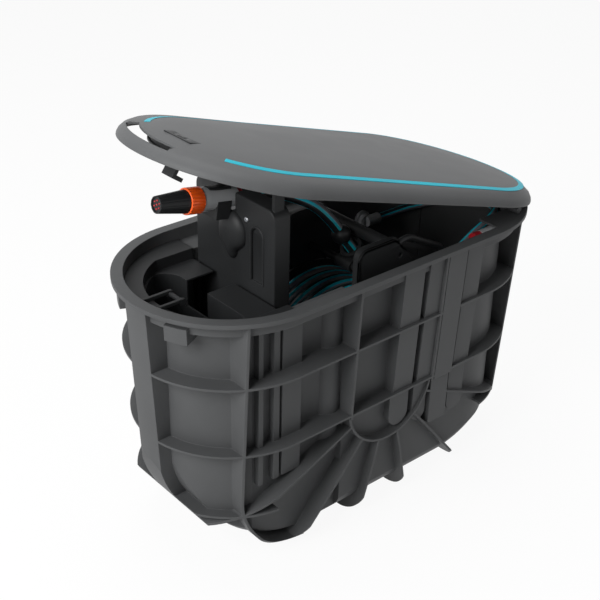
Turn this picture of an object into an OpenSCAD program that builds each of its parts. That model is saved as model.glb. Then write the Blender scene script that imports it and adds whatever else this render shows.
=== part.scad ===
// Garden hose reel box: a ribbed oval tub with a hinged lid, a storage well, a spring-return
// hose reel on its frame, and a lift panel that raises the nozzle with the lid.
// The origin is on the ground under the middle of the tub; the hinge is at +X, the front at -Y.

/* [Tub] */
// Length over the rim
rim_len = 630; // [610:1:660]
// Width over the rim
rim_wid = 290; // [286:1:300]
// Height from the feet to the top of the rim
tub_h = 380; // [376:1:390]
// Thickness of the moulded walls
wall = 3; // [2.6:0.1:3.4]
// Width of the flat rim
rim_band = 15; // [14:0.5:16]
// Thickness of the rim
rim_t = 5.5; // [4.5:0.5:7]
// Thickness of the outer ribs
rib_t = 3.2; // [2.6:0.1:4]
// Half the spacing of the legs of the U-shaped rib
u_half = 75; // [74:0.5:76]

/* [Lid] */
// Angle at which the lid stands open
lid_open = 17; // [12:0.5:17]
// Overhang of the lid past the rim
lid_over = 3; // [1:0.5:5]
// Thickness of the lid cover
lid_t = 3; // [2.5:0.1:3.2]
// Rise of the lid from its edge to the plateau
lid_rise = 11; // [10.5:0.5:14]
// Width of the inlay stripe
stripe_w = 9; // [6:0.5:12]

/* [Reel] */
// Outer diameter of the hose
hose_d = 15; // [13:0.1:15]
// Radius of the inner layers of hose on the drum
core_r = 97; // [80:1:97]
// Radius of the reel flanges
flange_r = 118; // [116:0.5:120]
// Turns of hose in the outer layer
turns = 7; // [3:1:7]
// Radius of the drum
drum_r = 45; // [35:1:50]
// Radius of the hollow axle
axle_r = 10; // [8:0.5:11]

/* [Nozzle] */
// Radius of the grip ring of the nozzle
ring_r = 16; // [15:0.5:17]
// Tilt of the nozzle in its dock
nozzle_tilt = 9.6; // [8:0.2:11]

/* [Hidden] */
$fn = 96;
// overrun of cuts, gap between moving faces, gap in slides, gap at seats, and running fit of shafts
over = 1;
gap = 1.5;
slide_gap = 0.5;
seat = 0.3;
fit = 0.05;

// tub plan: rim, collar below it, ledge and body wall, all round the same end centres
end_r = rim_wid / 2;
hs = rim_len / 2 - end_r;
collar_in = end_r - rim_band;
ledge_drop = 22;
ledge_z = tub_h - ledge_drop;
ledge_top = ledge_z + wall;
body_step = 33;
body_r = end_r - body_step;
body_in = body_r - wall;
pinch_in = 10;
pinch_y = body_r - pinch_in;
pinch_wall = pinch_y - wall;
pinch_reach = 60;
foot = 12;
u_r = 160;
u_cx = hs + body_r - u_r;
edge_r = 42;
side_room = 2;

// envelope of the outer ribs: drafted sides and a U-shaped side view
env_top_step = 5;
env_bot_step = 23;
env_r = 180;
env_edge = 45;
env_room = 4;
env_top = end_r - env_top_step;
env_bot = end_r - env_bot_step;
env_h = tub_h - rim_t;
env_wide = env_top - env_bot;
skin = 4;
keel_half = 21;

// ribs: bands below the rim, end bands, fan under the U, and the curved side rib
axle_z = 193;
rib_drops = [94, 194];
end_rib_z = 88;
end_rib_x = 190;
fan_step = 26.6;
fan_n = 6;
side_rib_x = 236;
side_rib_r = 100;

// pilasters of the long sides, in shares of the U rib's half width: left, right and lower end
pilaster_shares = [[0.03, 0.5, 1.7], [0.63, 0.97, 1.57], [1.57, 1.98, 1.4]];
flat_pilaster_shares = [1.04, 1.49, 1.41];
// columns in the pinched bay, in the same shares
column_shares = [[-2.84, -2.75], [-2.53, -2.41], [-2.35, -1.95]];
column_z = 130;
bulge_r = 20;
bulge_x = -u_half - bulge_r * 3 / 4;

// grip blocks under the rim at the lid's free end
grip_angle = 26;
grip_wide = 30;
grip_drop = 14;
grip_h = 21;

// deck at the hinge end
deck_x = hs + 8;
deck_open_x = hs + 92;
deck_open_y = body_in - 11;

// lid: hinge, profile, stripe, grip slot
hinge_x = rim_len / 2 - 26;
hinge_h = 8;
hinge_z = tub_h + hinge_h;
hinge_plate_t = 3.5;
knuckle_r = hinge_h - hinge_plate_t - seat;
pin_r = 2;
knuckle_y = [8, 24];
lid_knuckle_y = [knuckle_y[1] + seat, 44];
knuckle_web = 5.8;
bearing_x = hs + 63;
bearing_y = [104, 120];
bearing_r = 4.8;
lid_r = end_r + lid_over;
lid_gap = 0.8;
crease_h = 11.5;
plateau_r = 80;
crown_h = 3;
lid_slope = lid_rise / (lid_r - plateau_r);
tail_lift = 9.8;
stripe_inset = 30;
stripe_t = 1;
stripe_end_x = -hs - 62;
slot_in = 9;
slot_w = 17;
slot_half_angle = 44;
liner_r = lid_r - 36;
liner_w = 8;
liner_h = 3;
liner_t = 2.5;
liner_x = [-hs - 45, -hs + 55];

// latch and lock at the free end of the lid
latch_x = -hs - 80;
latch_pin_r = 2;
latch_pin_h = 8;
latch_pin_z = tub_h + latch_pin_h;
hook_half = 10;
hook_hub = 5;
hook_reach = 36;
hook_t = 5;
hook_back = 12;
hook_lip = 16;
hook_free = 18;
ear_half = 8;
ear_t = 4;
ear_z = [1, 18];
catch_z = tub_h - 16.5;
catch_r = 3;
catch_hub = 5.1;
lock_x = -hs - 92;
lock_size = [16, 50];
lock_z = [18.3, 23.2];
lock_slot = [7, 29];
lock_key = [6, 12];
lock_floor = 2;
lock_key_h = 5;

// lift panel between the well and the reel, lifted by a bar that runs in lugs of the lid
panel_x = -hs + 20;
panel_t = 24;
panel_back = panel_x + panel_t;
panel_half = pinch_wall - 4;
panel_skin = 3;
panel_corner = 14;
bar_x = panel_x + panel_t / 2;
bar_r = 4;
bar_drop = 16;
bar_arm = hinge_x - bar_x;
bar_z = hinge_z + bar_arm * tan(lid_open) - bar_drop / cos(lid_open);
lift_travel = bar_z - hinge_z + bar_drop;
panel_top = bar_z - 17;
panel_bottom = panel_top - 235;
bar_ear_y = 54;
bar_ear_t = 5;
lug_y = 62;
lug_t = 4;
lug_run = 22;
lug_play = 3;
lug_wall = 4;
bar_half = lug_y + lug_t;
rail_z = [110, 345];
rail_t = 5;
rail_y = panel_half - 7;

// nozzle: axis, length and profile along it, from its rear end
nozzle_y = 30;
nozzle_at = [panel_back - 2, nozzle_y, panel_top - 31];
nozzle_len = 127;
ring_at = [66, 86];
tip_r = 10.5;
neck_r = 11.5;
clip_r = 10.5;
clip_at = [4, 12];
coupling_r = 10.5;
coupling_at = -18;
notch_half = 17;
notch_z = nozzle_at[2] - 17;
dock_half = 14;
dock_at = [25, 46];
dock_h = 24;

// tray with the storage well
tray_x = panel_x - rail_t - gap - seat;
tray_z = ledge_top - wall - 12;
tray_t = 2.5;
tray_in = wall + 0.5;
well_x = [-hs - 104, -hs - 26];
well_y = [-88, 92];
well_r = 30;
well_z = 215;
gap_half = 22;
gap_z = 312;

// reel frame: two plates on standoffs, top bar, rail, axle
near_y = -92;
far_y = 57;
plate_t = 4;
hub_plate_r = 62;
arm_w = 24;
standoff_r = 7;
standoff_x = u_half - wall - standoff_r - gap;
standoffs = [[-standoff_x, 75], [standoff_x, 75], [-45, 300], [45, 300]];
top_bar_at = [19, tub_h + 5];
top_bar_r = 8.5;
head_over = 2;
guide_at = [0, tub_h - 37];
guide_rail_r = 5;
brace_at = [112, tub_h - 27];
brace_low = [58, 215];
brace_w = 7;
boss_r = 12;
axle_bore = 6;
axle_y = [-106, 94];
screw_r = 4;
screw_h = 2.4;

// spring case on the far plate
case_r = 90;
case_t = 2.5;
case_y = [far_y + plate_t + seat, 97];
arbor_r = 17;

// reel between its flanges
flange_t = 3;
reel_y = [near_y + plate_t + 10, far_y - 4];
bush_r = 14;
bush_len = 12;
drum_y = [reel_y[0] + flange_t, reel_y[1] - flange_t];

// outer layer of hose, wound as one tube
hose_r = hose_d / 2;
wind_r = core_r + seat + hose_r;
wind_pitch = hose_d + 0.5;
wind_sides = 6;
wind_steps = 24;
wind_dip = wind_r * (1 - cos(180 / wind_steps));
wind_end_angle = 35;
wind_start_y = drum_y[1] - hose_r - seat;

// hose guide on its rail
eye_at = [10, -29, tub_h - 20];
eye_in = hose_r + 3;
eye_out = eye_in + 5;
eye_half = 6;
eye_lean = -35;
carriage_half = 14;
carriage_r = 9;

// routes of the hoses that are not wound
lower_route = [[50, -62, 309], [25, -36, 337]];
mid_route = [[10, -29, 360], [2, -26, 372], [-7, -24, 385]];
upper_route = [[-7, -24, 385], [-24, -18, 410], [-45, -8, 432], [-68, 14, 443]];
joint_gap = 1.5;
leader_run = 20;
supply_d = 10.5;
supply_sides = 8;
supply_route = [[60, -99, 194], [86, -99, 212], [102, -99, 255], [112, -98, 300], [130, -97, 337],
                [170, -91, 354], [212, -86, 366], [245, -68, 366], [264, -30, 358], [268, 10, 346],
                [258, 52, 332], [228, 84, 318], [202, 96, 311]];

// water inlet: elbow at the axle, nipple through the back wall
elbow_y = -99;
elbow_x = 36;
elbow_r = 6.5;
elbow_hub = 13;
nipple_at = [158, 98, 310];
nipple_len = 24;
nipple_r = 8;
nipple_neck = 10;
nipple_thread = 13.2;
nipple_reach = 22;
nipple_flange = 14;
nipple_flange_t = 4;
nipple_room = 12;

// hose connector lying on the ledge
connector_y = -119;
connector_r = 7.8;
connector_x = [143, 156, 186];

// shared shapes

// A side-view outline (x, z) pulled along Y between two places
module along_y(y0, y1) {
    translate([0, y1, 0])
        rotate([90, 0, 0])
            linear_extrude(y1 - y0)
                children();
}

// A round bar along Y
module rod(at, r, y0, y1) {
    along_y(y0, y1)
        translate(at)
            circle(r);
}

// A straight bar with round ends in a side view
module bar(p, q, w) {
    d = q - p;
    translate(p)
        rotate(atan2(d[1], d[0])) {
            translate([0, -w / 2])
                square([norm(d), w]);
            circle(w / 2);
            translate([norm(d), 0])
                circle(w / 2);
        }
}

// An outline with straight long sides and round ends
module stadium(r) {
    square([2 * hs, 2 * r], center = true);
    for (s = [-1, 1])
        translate([s * hs, 0])
            circle(r);
}

// A section (distance from the middle, height) carried round that outline
module round_sweep() {
    for (s = [-1, 1])
        translate([s * hs, 0, 0])
            rotate([0, 0, -90 * s])
                rotate_extrude(angle = 180)
                    children();
    rotate([90, 0, 90])
        linear_extrude(2 * hs, center = true) {
            children();
            mirror([1, 0])
                children();
        }
}

// A rectangle with round corners between two corners
module soft_rect(x, y, r) {
    translate([x[0] + r, y[0]])
        square([x[1] - x[0] - 2 * r, y[1] - y[0]]);
    translate([x[0], y[0] + r])
        square([x[1] - x[0], y[1] - y[0] - 2 * r]);
    for (px = [x[0] + r, x[1] - r], py = [y[0] + r, y[1] - r])
        translate([px, py])
            circle(r);
}

// A tube swept along points, closed at both ends
function unit(v) = v / norm(v);
function heading(p, i) = unit(p[min(i + 1, len(p) - 1)] - p[max(i - 1, 0)]);
function spread(a, b, c, d, t) =
    (2 * b + (c - a) * t + (2 * a - 5 * b + 4 * c - d) * t * t + (3 * b - a - 3 * c + d) * t * t * t) / 2;
function smooth_route(p, n) = [
    for (i = [0:len(p) - 2], k = [0:n - 1])
        spread(p[max(i - 1, 0)], p[i], p[i + 1], p[min(i + 2, len(p) - 1)], k / n),
    p[len(p) - 1]
];
function ring(c, t, ref, r, n) =
    let (u = unit(cross(t, ref)), v = cross(u, t))
    [for (k = [0:n - 1]) c + r * (cos(360 * k / n) * u + sin(360 * k / n) * v)];
module tube(p, r, n, ref) {
    m = len(p);
    points = [for (i = [0:m - 1]) each ring(p[i], heading(p, i), ref, r, n)];
    sides = [
        for (i = [0:m - 2], k = [0:n - 1])
            let (a = i * n + k, b = i * n + (k + 1) % n)
            each [[a, b, b + n], [a, b + n, a + n]]
    ];
    ends = [
        for (k = [1:n - 2])
            each [[0, k + 1, k], [(m - 1) * n, (m - 1) * n + k, (m - 1) * n + k + 1]]
    ];
    polyhedron(points, concat(sides, ends));
}

// Puts what is drawn for the closed lid at its opening angle
module lid_pose() {
    translate([hinge_x, 0, hinge_z])
        rotate([0, lid_open, 0])
            translate([-hinge_x, 0, -hinge_z])
                children();
}

// Puts what is drawn along Z on the nozzle's axis, with local X upwards
module nozzle_pose() {
    translate(nozzle_at)
        rotate([0, nozzle_tilt - 90, 0])
            children();
}

// tub

module body_plan(inset) {
    difference() {
        stadium(body_r - inset);
        for (s = [0, 1])
            mirror([0, s])
                translate([-hs - pinch_reach, pinch_y - inset])
                    square([hs + pinch_reach - u_half + inset, body_r]);
    }
}

module round_disc(r, half, edge) {
    rotate([90, 0, 0])
        rotate_extrude() {
            translate([0, edge - half])
                square([r, 2 * (half - edge)]);
            translate([0, -half])
                square([r - edge, 2 * half]);
            for (s = [-1, 1])
                translate([r - edge, s * (half - edge)])
                    circle(edge);
        }
}

// A U-shaped block seen from the side, with round lower edges, widened above the arcs
module u_block(cx, r, half, edge, z0, wide) {
    for (s = [-1, 1])
        translate([s * cx, 0, z0 + r])
            round_disc(r, half, edge);
    rotate([90, 0, 90])
        linear_extrude(2 * cx, center = true)
            translate([0, z0]) {
                translate([edge - half, 0])
                    square([2 * (half - edge), r]);
                translate([-half, edge])
                    square([2 * half, r]);
                for (s = [-1, 1])
                    translate([s * (half - edge), edge])
                        circle(edge);
            }
    translate([-cx - r - wide, -half - wide, z0 + r])
        cube([2 * (cx + r + wide), 2 * (half + wide), tub_h]);
}

module tub_shape(inset) {
    intersection() {
        linear_extrude(ledge_top + over)
            body_plan(inset);
        u_block(u_cx, u_r - inset, body_r + side_room - inset, edge_r, foot + inset, 0);
    }
}

module envelope(inset) {
    intersection() {
        union() {
            rotate([90, 0, 90])
                linear_extrude(2 * hs, center = true)
                    polygon([[inset - env_bot, 0], [env_bot - inset, 0],
                             [env_top - inset, env_h], [inset - env_top, env_h]]);
            for (s = [-1, 1])
                translate([s * hs, 0, 0])
                    cylinder(h = env_h, r1 = env_bot - inset, r2 = env_top - inset);
        }
        u_block(u_cx, env_r - inset, env_bot + env_room - inset, env_edge, inset, env_wide);
    }
}

module u_outline(r) {
    translate([0, axle_z])
        circle(r);
    translate([-r, axle_z])
        square([2 * r, tub_h]);
}

module rib_pattern() {
    difference() {
        u_outline(u_half + rib_t / 2);
        u_outline(u_half - rib_t / 2);
    }
    for (i = [0:fan_n - 1])
        translate([0, axle_z])
            rotate((i - (fan_n - 1) / 2) * fan_step - 90)
                translate([u_half, -rib_t / 2])
                    square([hs + end_r, rib_t]);
    translate([-side_rib_x - rib_t / 2, side_rib_r + foot])
        square([rib_t, tub_h]);
    intersection() {
        translate([side_rib_r - side_rib_x, side_rib_r + foot])
            difference() {
                circle(side_rib_r + rib_t / 2);
                circle(side_rib_r - rib_t / 2);
            }
        translate([-side_rib_x - rib_t, 0])
            square([side_rib_r + rib_t, side_rib_r + foot]);
    }
    translate([flat_pilaster_shares[0], flat_pilaster_shares[2]] * u_half)
        square([(flat_pilaster_shares[1] - flat_pilaster_shares[0]) * u_half, tub_h]);
}

module pilasters() {
    for (p = pilaster_shares * u_half) {
        r = (p[1] - p[0]) / 2;
        translate([p[0], p[2] + r])
            square([2 * r, tub_h]);
        translate([p[0] + r, p[2] + r])
            circle(r);
    }
}

module keel_bands() {
    intersection() {
        difference() {
            envelope(0);
            envelope(skin);
        }
        translate([-rim_len / 2, -keel_half, 0])
            cube([rim_len, 2 * keel_half, tub_h]);
    }
}

module columns() {
    for (s = [0, 1])
        mirror([0, s, 0])
            translate([0, 0, column_z])
                linear_extrude(ledge_z - column_z) {
                    for (c = column_shares * u_half)
                        translate([c[0], pinch_y - wall])
                            square([c[1] - c[0], body_r - pinch_y + wall]);
                    translate([bulge_x, body_r - bulge_r])
                        circle(bulge_r);
                }
}

module grip_blocks() {
    for (s = [-1, 1])
        intersection() {
            envelope(0);
            translate([-hs, 0, tub_h - grip_drop - grip_h])
                rotate([0, 0, 180 + s * grip_angle])
                    translate([body_r - wall / 2, -grip_wide / 2, 0])
                        cube([body_step, grip_wide, grip_h]);
        }
}

module outer_ribs() {
    intersection() {
        union() {
            along_y(-end_r, end_r)
                rib_pattern();
            for (d = rib_drops)
                translate([-rim_len / 2, -end_r, tub_h - d - rib_t / 2])
                    cube([rim_len, rim_wid, rib_t]);
            for (s = [0, 1])
                mirror([s, 0, 0])
                    translate([end_rib_x, -end_r, end_rib_z])
                        cube([end_r, rim_wid, rib_t]);
            for (s = [0, 1])
                mirror([0, s, 0])
                    translate([-rim_len / 2, keel_half - rib_t, 0])
                        cube([rim_len, rib_t, tub_h]);
        }
        envelope(0);
    }
    keel_bands();
    intersection() {
        along_y(-end_r, end_r)
            pilasters();
        envelope(skin);
    }
    columns();
    grip_blocks();
}

module rim() {
    translate([0, 0, ledge_z])
        linear_extrude(tub_h - ledge_z)
            difference() {
                stadium(collar_in + wall);
                stadium(collar_in);
            }
    translate([0, 0, ledge_z])
        linear_extrude(wall)
            difference() {
                stadium(collar_in + wall / 2);
                body_plan(wall);
            }
    translate([0, 0, tub_h - rim_t])
        linear_extrude(rim_t)
            difference() {
                stadium(end_r);
                stadium(collar_in);
            }
}

module deck() {
    translate([0, 0, tub_h - wall])
        linear_extrude(wall)
            difference() {
                intersection() {
                    stadium(collar_in + wall / 2);
                    translate([deck_x, -end_r])
                        square([end_r + hs, rim_wid]);
                }
                translate([deck_x - over, -deck_open_y])
                    square([deck_open_x - deck_x + over, 2 * deck_open_y]);
            }
}

module tub() {
    color("#4e4e4e") {
        difference() {
            union() {
                tub_shape(0);
                outer_ribs();
            }
            tub_shape(wall);
            translate([0, 0, ledge_top])
                linear_extrude(tub_h)
                    stadium(collar_in + wall / 2);
            rod([nipple_at[0], nipple_at[2]], nipple_neck + seat, body_in - over, body_r + over);
            rod([nipple_at[0], nipple_at[2]], nipple_thread + nipple_room, body_r, end_r);
        }
        rim();
        deck();
    }
}

// hinge end

module hinge_base() {
    color("#2e2e2e") {
        difference() {
            union() {
                translate([0, 0, tub_h])
                    linear_extrude(hinge_plate_t)
                        intersection() {
                            stadium(collar_in);
                            translate([deck_open_x, -end_r])
                                square([end_r, rim_wid]);
                        }
                for (s = [0, 1])
                    mirror([0, s, 0])
                        along_y(knuckle_y[0], knuckle_y[1]) {
                            translate([hinge_x, hinge_z])
                                circle(knuckle_r);
                            translate([hinge_x - knuckle_r, tub_h + hinge_plate_t / 2])
                                square([2 * knuckle_r, hinge_h - hinge_plate_t / 2]);
                        }
            }
            rod([hinge_x, hinge_z], pin_r + fit, -end_r, end_r);
        }
        for (s = [0, 1])
            mirror([0, s, 0])
                rod([bearing_x, tub_h + bearing_r], bearing_r, bearing_y[0], bearing_y[1]);
    }
}

module hinge_pin() {
    color("silver")
        rod([hinge_x, hinge_z], pin_r, -lid_knuckle_y[1], lid_knuckle_y[1]);
}

// storage tray

module tray_half() {
    intersection() {
        children();
        translate([-rim_len, -end_r])
            square([rim_len + tray_x, rim_wid]);
    }
}

module well_outline(inset) {
    intersection() {
        soft_rect([well_x[0] + inset, well_x[1] - inset], [well_y[0] + inset, well_y[1] - inset],
                  well_r - inset);
        body_plan(tray_in + tray_t + inset);
    }
}

module well_tray() {
    color("#262626")
        difference() {
            union() {
                translate([0, 0, ledge_top + seat])
                    linear_extrude(tray_t)
                        tray_half()
                            difference() {
                                stadium(collar_in - seat);
                                body_plan(tray_in + tray_t);
                            }
                translate([0, 0, tray_z])
                    linear_extrude(ledge_top + seat + tray_t - tray_z)
                        tray_half()
                            difference() {
                                body_plan(tray_in);
                                body_plan(tray_in + tray_t);
                            }
                translate([0, 0, tray_z])
                    linear_extrude(tray_t)
                        tray_half()
                            body_plan(tray_in + tray_t / 2);
                translate([0, 0, well_z])
                    linear_extrude(tray_z + tray_t - well_z)
                        well_outline(0);
            }
            translate([0, 0, well_z + tray_t])
                linear_extrude(tub_h)
                    well_outline(tray_t);
            translate([well_x[1] - well_r, nozzle_y - gap_half, gap_z])
                cube([tray_x - well_x[1] + well_r + over, 2 * gap_half, tub_h]);
        }
}

// lift panel guides on the pinched walls

module lift_guides() {
    color("#303030")
        for (s = [0, 1])
            mirror([0, s, 0])
                translate([0, 0, rail_z[0]])
                    linear_extrude(rail_z[1] - rail_z[0])
                        difference() {
                            translate([panel_x - slide_gap - rail_t, rail_y])
                                square([panel_t + 2 * (slide_gap + rail_t), pinch_wall - seat - rail_y]);
                            translate([panel_x - slide_gap, rail_y - over])
                                square([panel_t + 2 * slide_gap, panel_half + slide_gap - rail_y + over]);
                        }
}

// reel frame

module plate_outline() {
    difference() {
        union() {
            translate([0, axle_z])
                circle(hub_plate_r);
            for (p = standoffs)
                bar([0, axle_z], p, arm_w);
            bar([0, axle_z], guide_at, 2 * arm_w);
            bar(guide_at, top_bar_at, arm_w);
        }
        translate(top_bar_at)
            circle(top_bar_r + fit);
        translate(guide_at)
            circle(guide_rail_r + fit);
    }
}

module near_plate() {
    color("#333333") {
        difference() {
            along_y(near_y, near_y + plate_t) {
                plate_outline();
                difference() {
                    union() {
                        bar(top_bar_at + [boss_r, 0], brace_at, brace_w);
                        bar(brace_at, brace_low, brace_w);
                    }
                    translate(top_bar_at)
                        circle(top_bar_r + fit);
                }
            }
            rod([0, axle_z], axle_r + fit, near_y - over, near_y + plate_t + over);
        }
        for (p = standoffs)
            rod(p, standoff_r, seat - body_in, near_y);
    }
}

module far_plate() {
    color("#333333") {
        difference() {
            along_y(far_y, far_y + plate_t)
                plate_outline();
            rod([0, axle_z], arbor_r + gap, far_y - over, far_y + plate_t + over);
        }
        for (p = standoffs)
            rod(p, standoff_r, far_y + plate_t, body_in - seat);
    }
}

module top_bar() {
    color("#3a3a3a")
        rod(top_bar_at, top_bar_r, near_y - head_over, far_y + plate_t + head_over);
}

module guide_rail() {
    color("silver")
        rod(guide_at, guide_rail_r, near_y - head_over, far_y + plate_t + head_over);
}

module axle() {
    color("silver")
        difference() {
            rod([0, axle_z], axle_r, axle_y[0], axle_y[1]);
            rod([0, axle_z], axle_bore, axle_y[0] - over, axle_y[1] - wall);
        }
}

module spring_case() {
    color("#2a2a2a")
        difference() {
            rod([0, axle_z], case_r, case_y[0], case_y[1]);
            rod([0, axle_z], case_r - case_t, case_y[0] - over, case_y[1] - case_t);
        }
}

module main_spring() {
    color("slategray")
        difference() {
            rod([0, axle_z], case_r - case_t - seat, case_y[0] + gap, case_y[1] - case_t - gap);
            rod([0, axle_z], arbor_r + seat, case_y[0], case_y[1]);
        }
}

module frame_screws() {
    color("silver")
        for (p = standoffs) {
            rod(p, screw_r, near_y + plate_t, near_y + plate_t + screw_h);
            rod(p, screw_r, far_y - screw_h, far_y);
        }
}

// water path

module inlet_elbow() {
    color("#3a3a3a")
        difference() {
            union() {
                rod([0, axle_z], elbow_hub, axle_y[0], near_y - seat);
                translate([0, elbow_y, axle_z])
                    rotate([0, 90, 0])
                        cylinder(h = elbow_x, r = elbow_r);
            }
            rod([0, axle_z], axle_r + fit, axle_y[0] - over, near_y);
        }
}

module inlet_nipple() {
    color("#3a3a3a")
        difference() {
            union() {
                translate(nipple_at)
                    rotate([0, 90, 0])
                        cylinder(h = nipple_len, r = nipple_r);
                rod([nipple_at[0], nipple_at[2]], nipple_neck, nipple_at[1], body_r + nipple_reach);
                rod([nipple_at[0], nipple_at[2]], nipple_thread, body_r + seat, body_r + nipple_reach);
                rod([nipple_at[0], nipple_at[2]], nipple_flange, body_in - seat - nipple_flange_t,
                    body_in - seat);
            }
            rod([nipple_at[0], nipple_at[2]], nipple_neck - wall, nipple_at[1], body_r + nipple_reach + over);
        }
}

module supply_hose() {
    color("#6f6c6c")
        tube(smooth_route(concat([[elbow_x + seat, elbow_y, axle_z]], supply_route,
                                 [nipple_at + [nipple_len + seat, 0, 0]]), 2),
             supply_d / 2, supply_sides, [-1, 1, 1]);
}

module connector_part(x0, x1, r) {
    translate([x0, connector_y, ledge_top + seat + connector_r])
        rotate([0, 90, 0])
            cylinder(h = x1 - x0, r = r);
}

module connector_body() {
    color("#b8babc")
        connector_part(connector_x[1], connector_x[2], connector_r);
}

module connector_collar() {
    color("firebrick")
        connector_part(connector_x[0], connector_x[1], connector_r - seat);
}

// latch catch on the tray's flange

module latch_catch() {
    color("#303030") {
        for (s = [0, 1])
            mirror([0, s, 0])
                along_y(hook_half + gap, hook_half + gap + ear_t) {
                    translate([-hs - collar_in + 2 * ear_t, ledge_top + tray_t + 2 * seat])
                        square([latch_x + hs + collar_in - 2 * ear_t,
                                catch_z + catch_hub - ledge_top - tray_t - 2 * seat]);
                    translate([latch_x, catch_z])
                        circle(catch_hub);
                }
        rod([latch_x, catch_z], catch_r, -hook_half - gap, hook_half + gap);
    }
}

// free hose between the reel, the guide and the nozzle

function pay_off(d) = [wind_r * cos(wind_end_angle) - d * sin(wind_end_angle),
                       wind_start_y - turns * wind_pitch,
                       axle_z + wind_r * sin(wind_end_angle) + d * cos(wind_end_angle)];
nozzle_axis = [-cos(nozzle_tilt), 0, sin(nozzle_tilt)];
function behind_nozzle(d) = nozzle_at + (coupling_at - d) * nozzle_axis;
leader_sides = 10;

module leader_lower() {
    color("#7d7a7a")
        tube(smooth_route(concat([pay_off(hose_d + 2 * seat), pay_off(2 * hose_d)], lower_route, [mid_route[0]]), 2),
             hose_r, leader_sides, [0, 1, 0]);
}

module leader_middle() {
    color("#7d7a7a")
        tube([mid_route[0] + joint_gap * unit(mid_route[1] - mid_route[0]), mid_route[1],
              mid_route[2] - joint_gap * unit(mid_route[2] - mid_route[1])],
             hose_r, leader_sides, [0, 1, 0]);
}

module leader_upper() {
    color("#7d7a7a")
        tube(smooth_route(concat(upper_route, [behind_nozzle(leader_run), behind_nozzle(joint_gap)]), 2),
             hose_r, leader_sides, [0, 1, 0]);
}

// lid

module lid_section() {
    polygon([[0, crease_h + lid_rise + crown_h], [plateau_r, crease_h + lid_rise],
             [lid_r, crease_h], [lid_r, lid_gap], [lid_r - lid_t, lid_gap],
             [lid_r - lid_t, crease_h + lid_slope * lid_t - lid_t], [plateau_r, crease_h + lid_rise - lid_t],
             [0, crease_h + lid_rise + crown_h - lid_t]]);
}

module stripe_section(up) {
    r = lid_r - stripe_inset;
    polygon([[r - stripe_w, crease_h + (stripe_inset + stripe_w) * lid_slope + up],
             [r, crease_h + stripe_inset * lid_slope + up],
             [r, crease_h + stripe_inset * lid_slope - stripe_t],
             [r - stripe_w, crease_h + (stripe_inset + stripe_w) * lid_slope - stripe_t]]);
}

module stripe_solid(up) {
    difference() {
        translate([0, 0, tub_h])
            round_sweep()
                stripe_section(up);
        translate([stripe_end_x - lid_r, -lid_r, tub_h])
            cube([lid_r, 2 * lid_r, tub_h]);
    }
}

module grip_slot() {
    translate([-hs, 0, tub_h])
        linear_extrude(tub_h)
            intersection() {
                difference() {
                    circle(lid_r - slot_in);
                    circle(lid_r - slot_in - slot_w);
                }
                polygon([[0, 0], [-lid_r, -lid_r * tan(slot_half_angle)], [-lid_r, lid_r * tan(slot_half_angle)]]);
            }
}

module lid_cover() {
    color("#5c5e60")
        lid_pose()
            difference() {
                union() {
                    difference() {
                        translate([0, 0, tub_h])
                            round_sweep()
                                lid_section();
                        translate([hinge_x, -lid_r - over, tub_h])
                            cube([lid_r, 2 * (lid_r + over), tail_lift]);
                    }
                    for (s = [0, 1])
                        mirror([0, s, 0])
                            along_y(lid_knuckle_y[0], lid_knuckle_y[1]) {
                                translate([hinge_x, hinge_z])
                                    circle(knuckle_r);
                                translate([hinge_x - knuckle_r, hinge_z])
                                    square([2 * knuckle_r, knuckle_web]);
                            }
                }
                rod([hinge_x, hinge_z], pin_r + fit, -end_r, end_r);
                stripe_solid(over);
                grip_slot();
                translate([lock_x - lock_size[0] / 2 - seat, -lock_size[1] / 2 - seat, tub_h])
                    cube([lock_size[0] + 2 * seat, lock_size[1] + 2 * seat, tub_h]);
            }
}

module lid_stripe() {
    color("#19b9cc")
        lid_pose()
            stripe_solid(0);
}

module lid_liner() {
    color("#2c2c2c")
        lid_pose()
            difference() {
                translate([0, 0, tub_h]) {
                    round_sweep()
                        polygon([[liner_r - liner_w, liner_h], [liner_r, liner_h],
                                 [liner_r, liner_h + liner_t], [liner_r - liner_t, liner_h + liner_t],
                                 [liner_r - liner_t, crease_h + (lid_r - liner_r) * lid_slope - lid_t - seat],
                                 [liner_r - 2 * liner_t, crease_h + (lid_r - liner_r) * lid_slope - lid_t - seat],
                                 [liner_r - 2 * liner_t, liner_h + liner_t], [liner_r - liner_w, liner_h + liner_t]]);
                    translate([liner_x[0], liner_w / 2 - liner_r, liner_h])
                        cube([liner_x[1] - liner_x[0], 2 * liner_r - liner_w, liner_t]);
                }
                translate([deck_open_x - gap, -lid_r, tub_h])
                    cube([lid_r, 2 * lid_r, tub_h]);
            }
}

module lid_lugs() {
    color("#2c2c2c")
        lid_pose()
            for (s = [0, 1])
                mirror([0, s, 0])
                    along_y(lug_y - lug_t / 2, lug_y + lug_t / 2)
                        difference() {
                            translate([bar_x - lug_run - bar_r - lug_play - lug_wall,
                                       hinge_z - bar_drop - bar_r - lug_play - lug_wall])
                                square([lug_run + 2 * (bar_r + lug_play + lug_wall),
                                        tub_h + liner_h - hinge_z + bar_drop + bar_r + lug_play + lug_wall]);
                            bar([bar_x - lug_run, hinge_z - bar_drop], [bar_x, hinge_z - bar_drop],
                                2 * (bar_r + lug_play));
                        }
}

// lock and latch on the lid

module lock_plate() {
    color("#3a3c3e")
        lid_pose()
            difference() {
                translate([lock_x - lock_size[0] / 2, -lock_size[1] / 2, tub_h + lock_z[0]])
                    cube([lock_size[0], lock_size[1], lock_z[1] - lock_z[0]]);
                translate([lock_x - lock_slot[0] / 2, -lock_slot[1] / 2, tub_h + lock_z[0] + lock_floor])
                    cube([lock_slot[0], lock_slot[1], tub_h]);
            }
}

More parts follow.
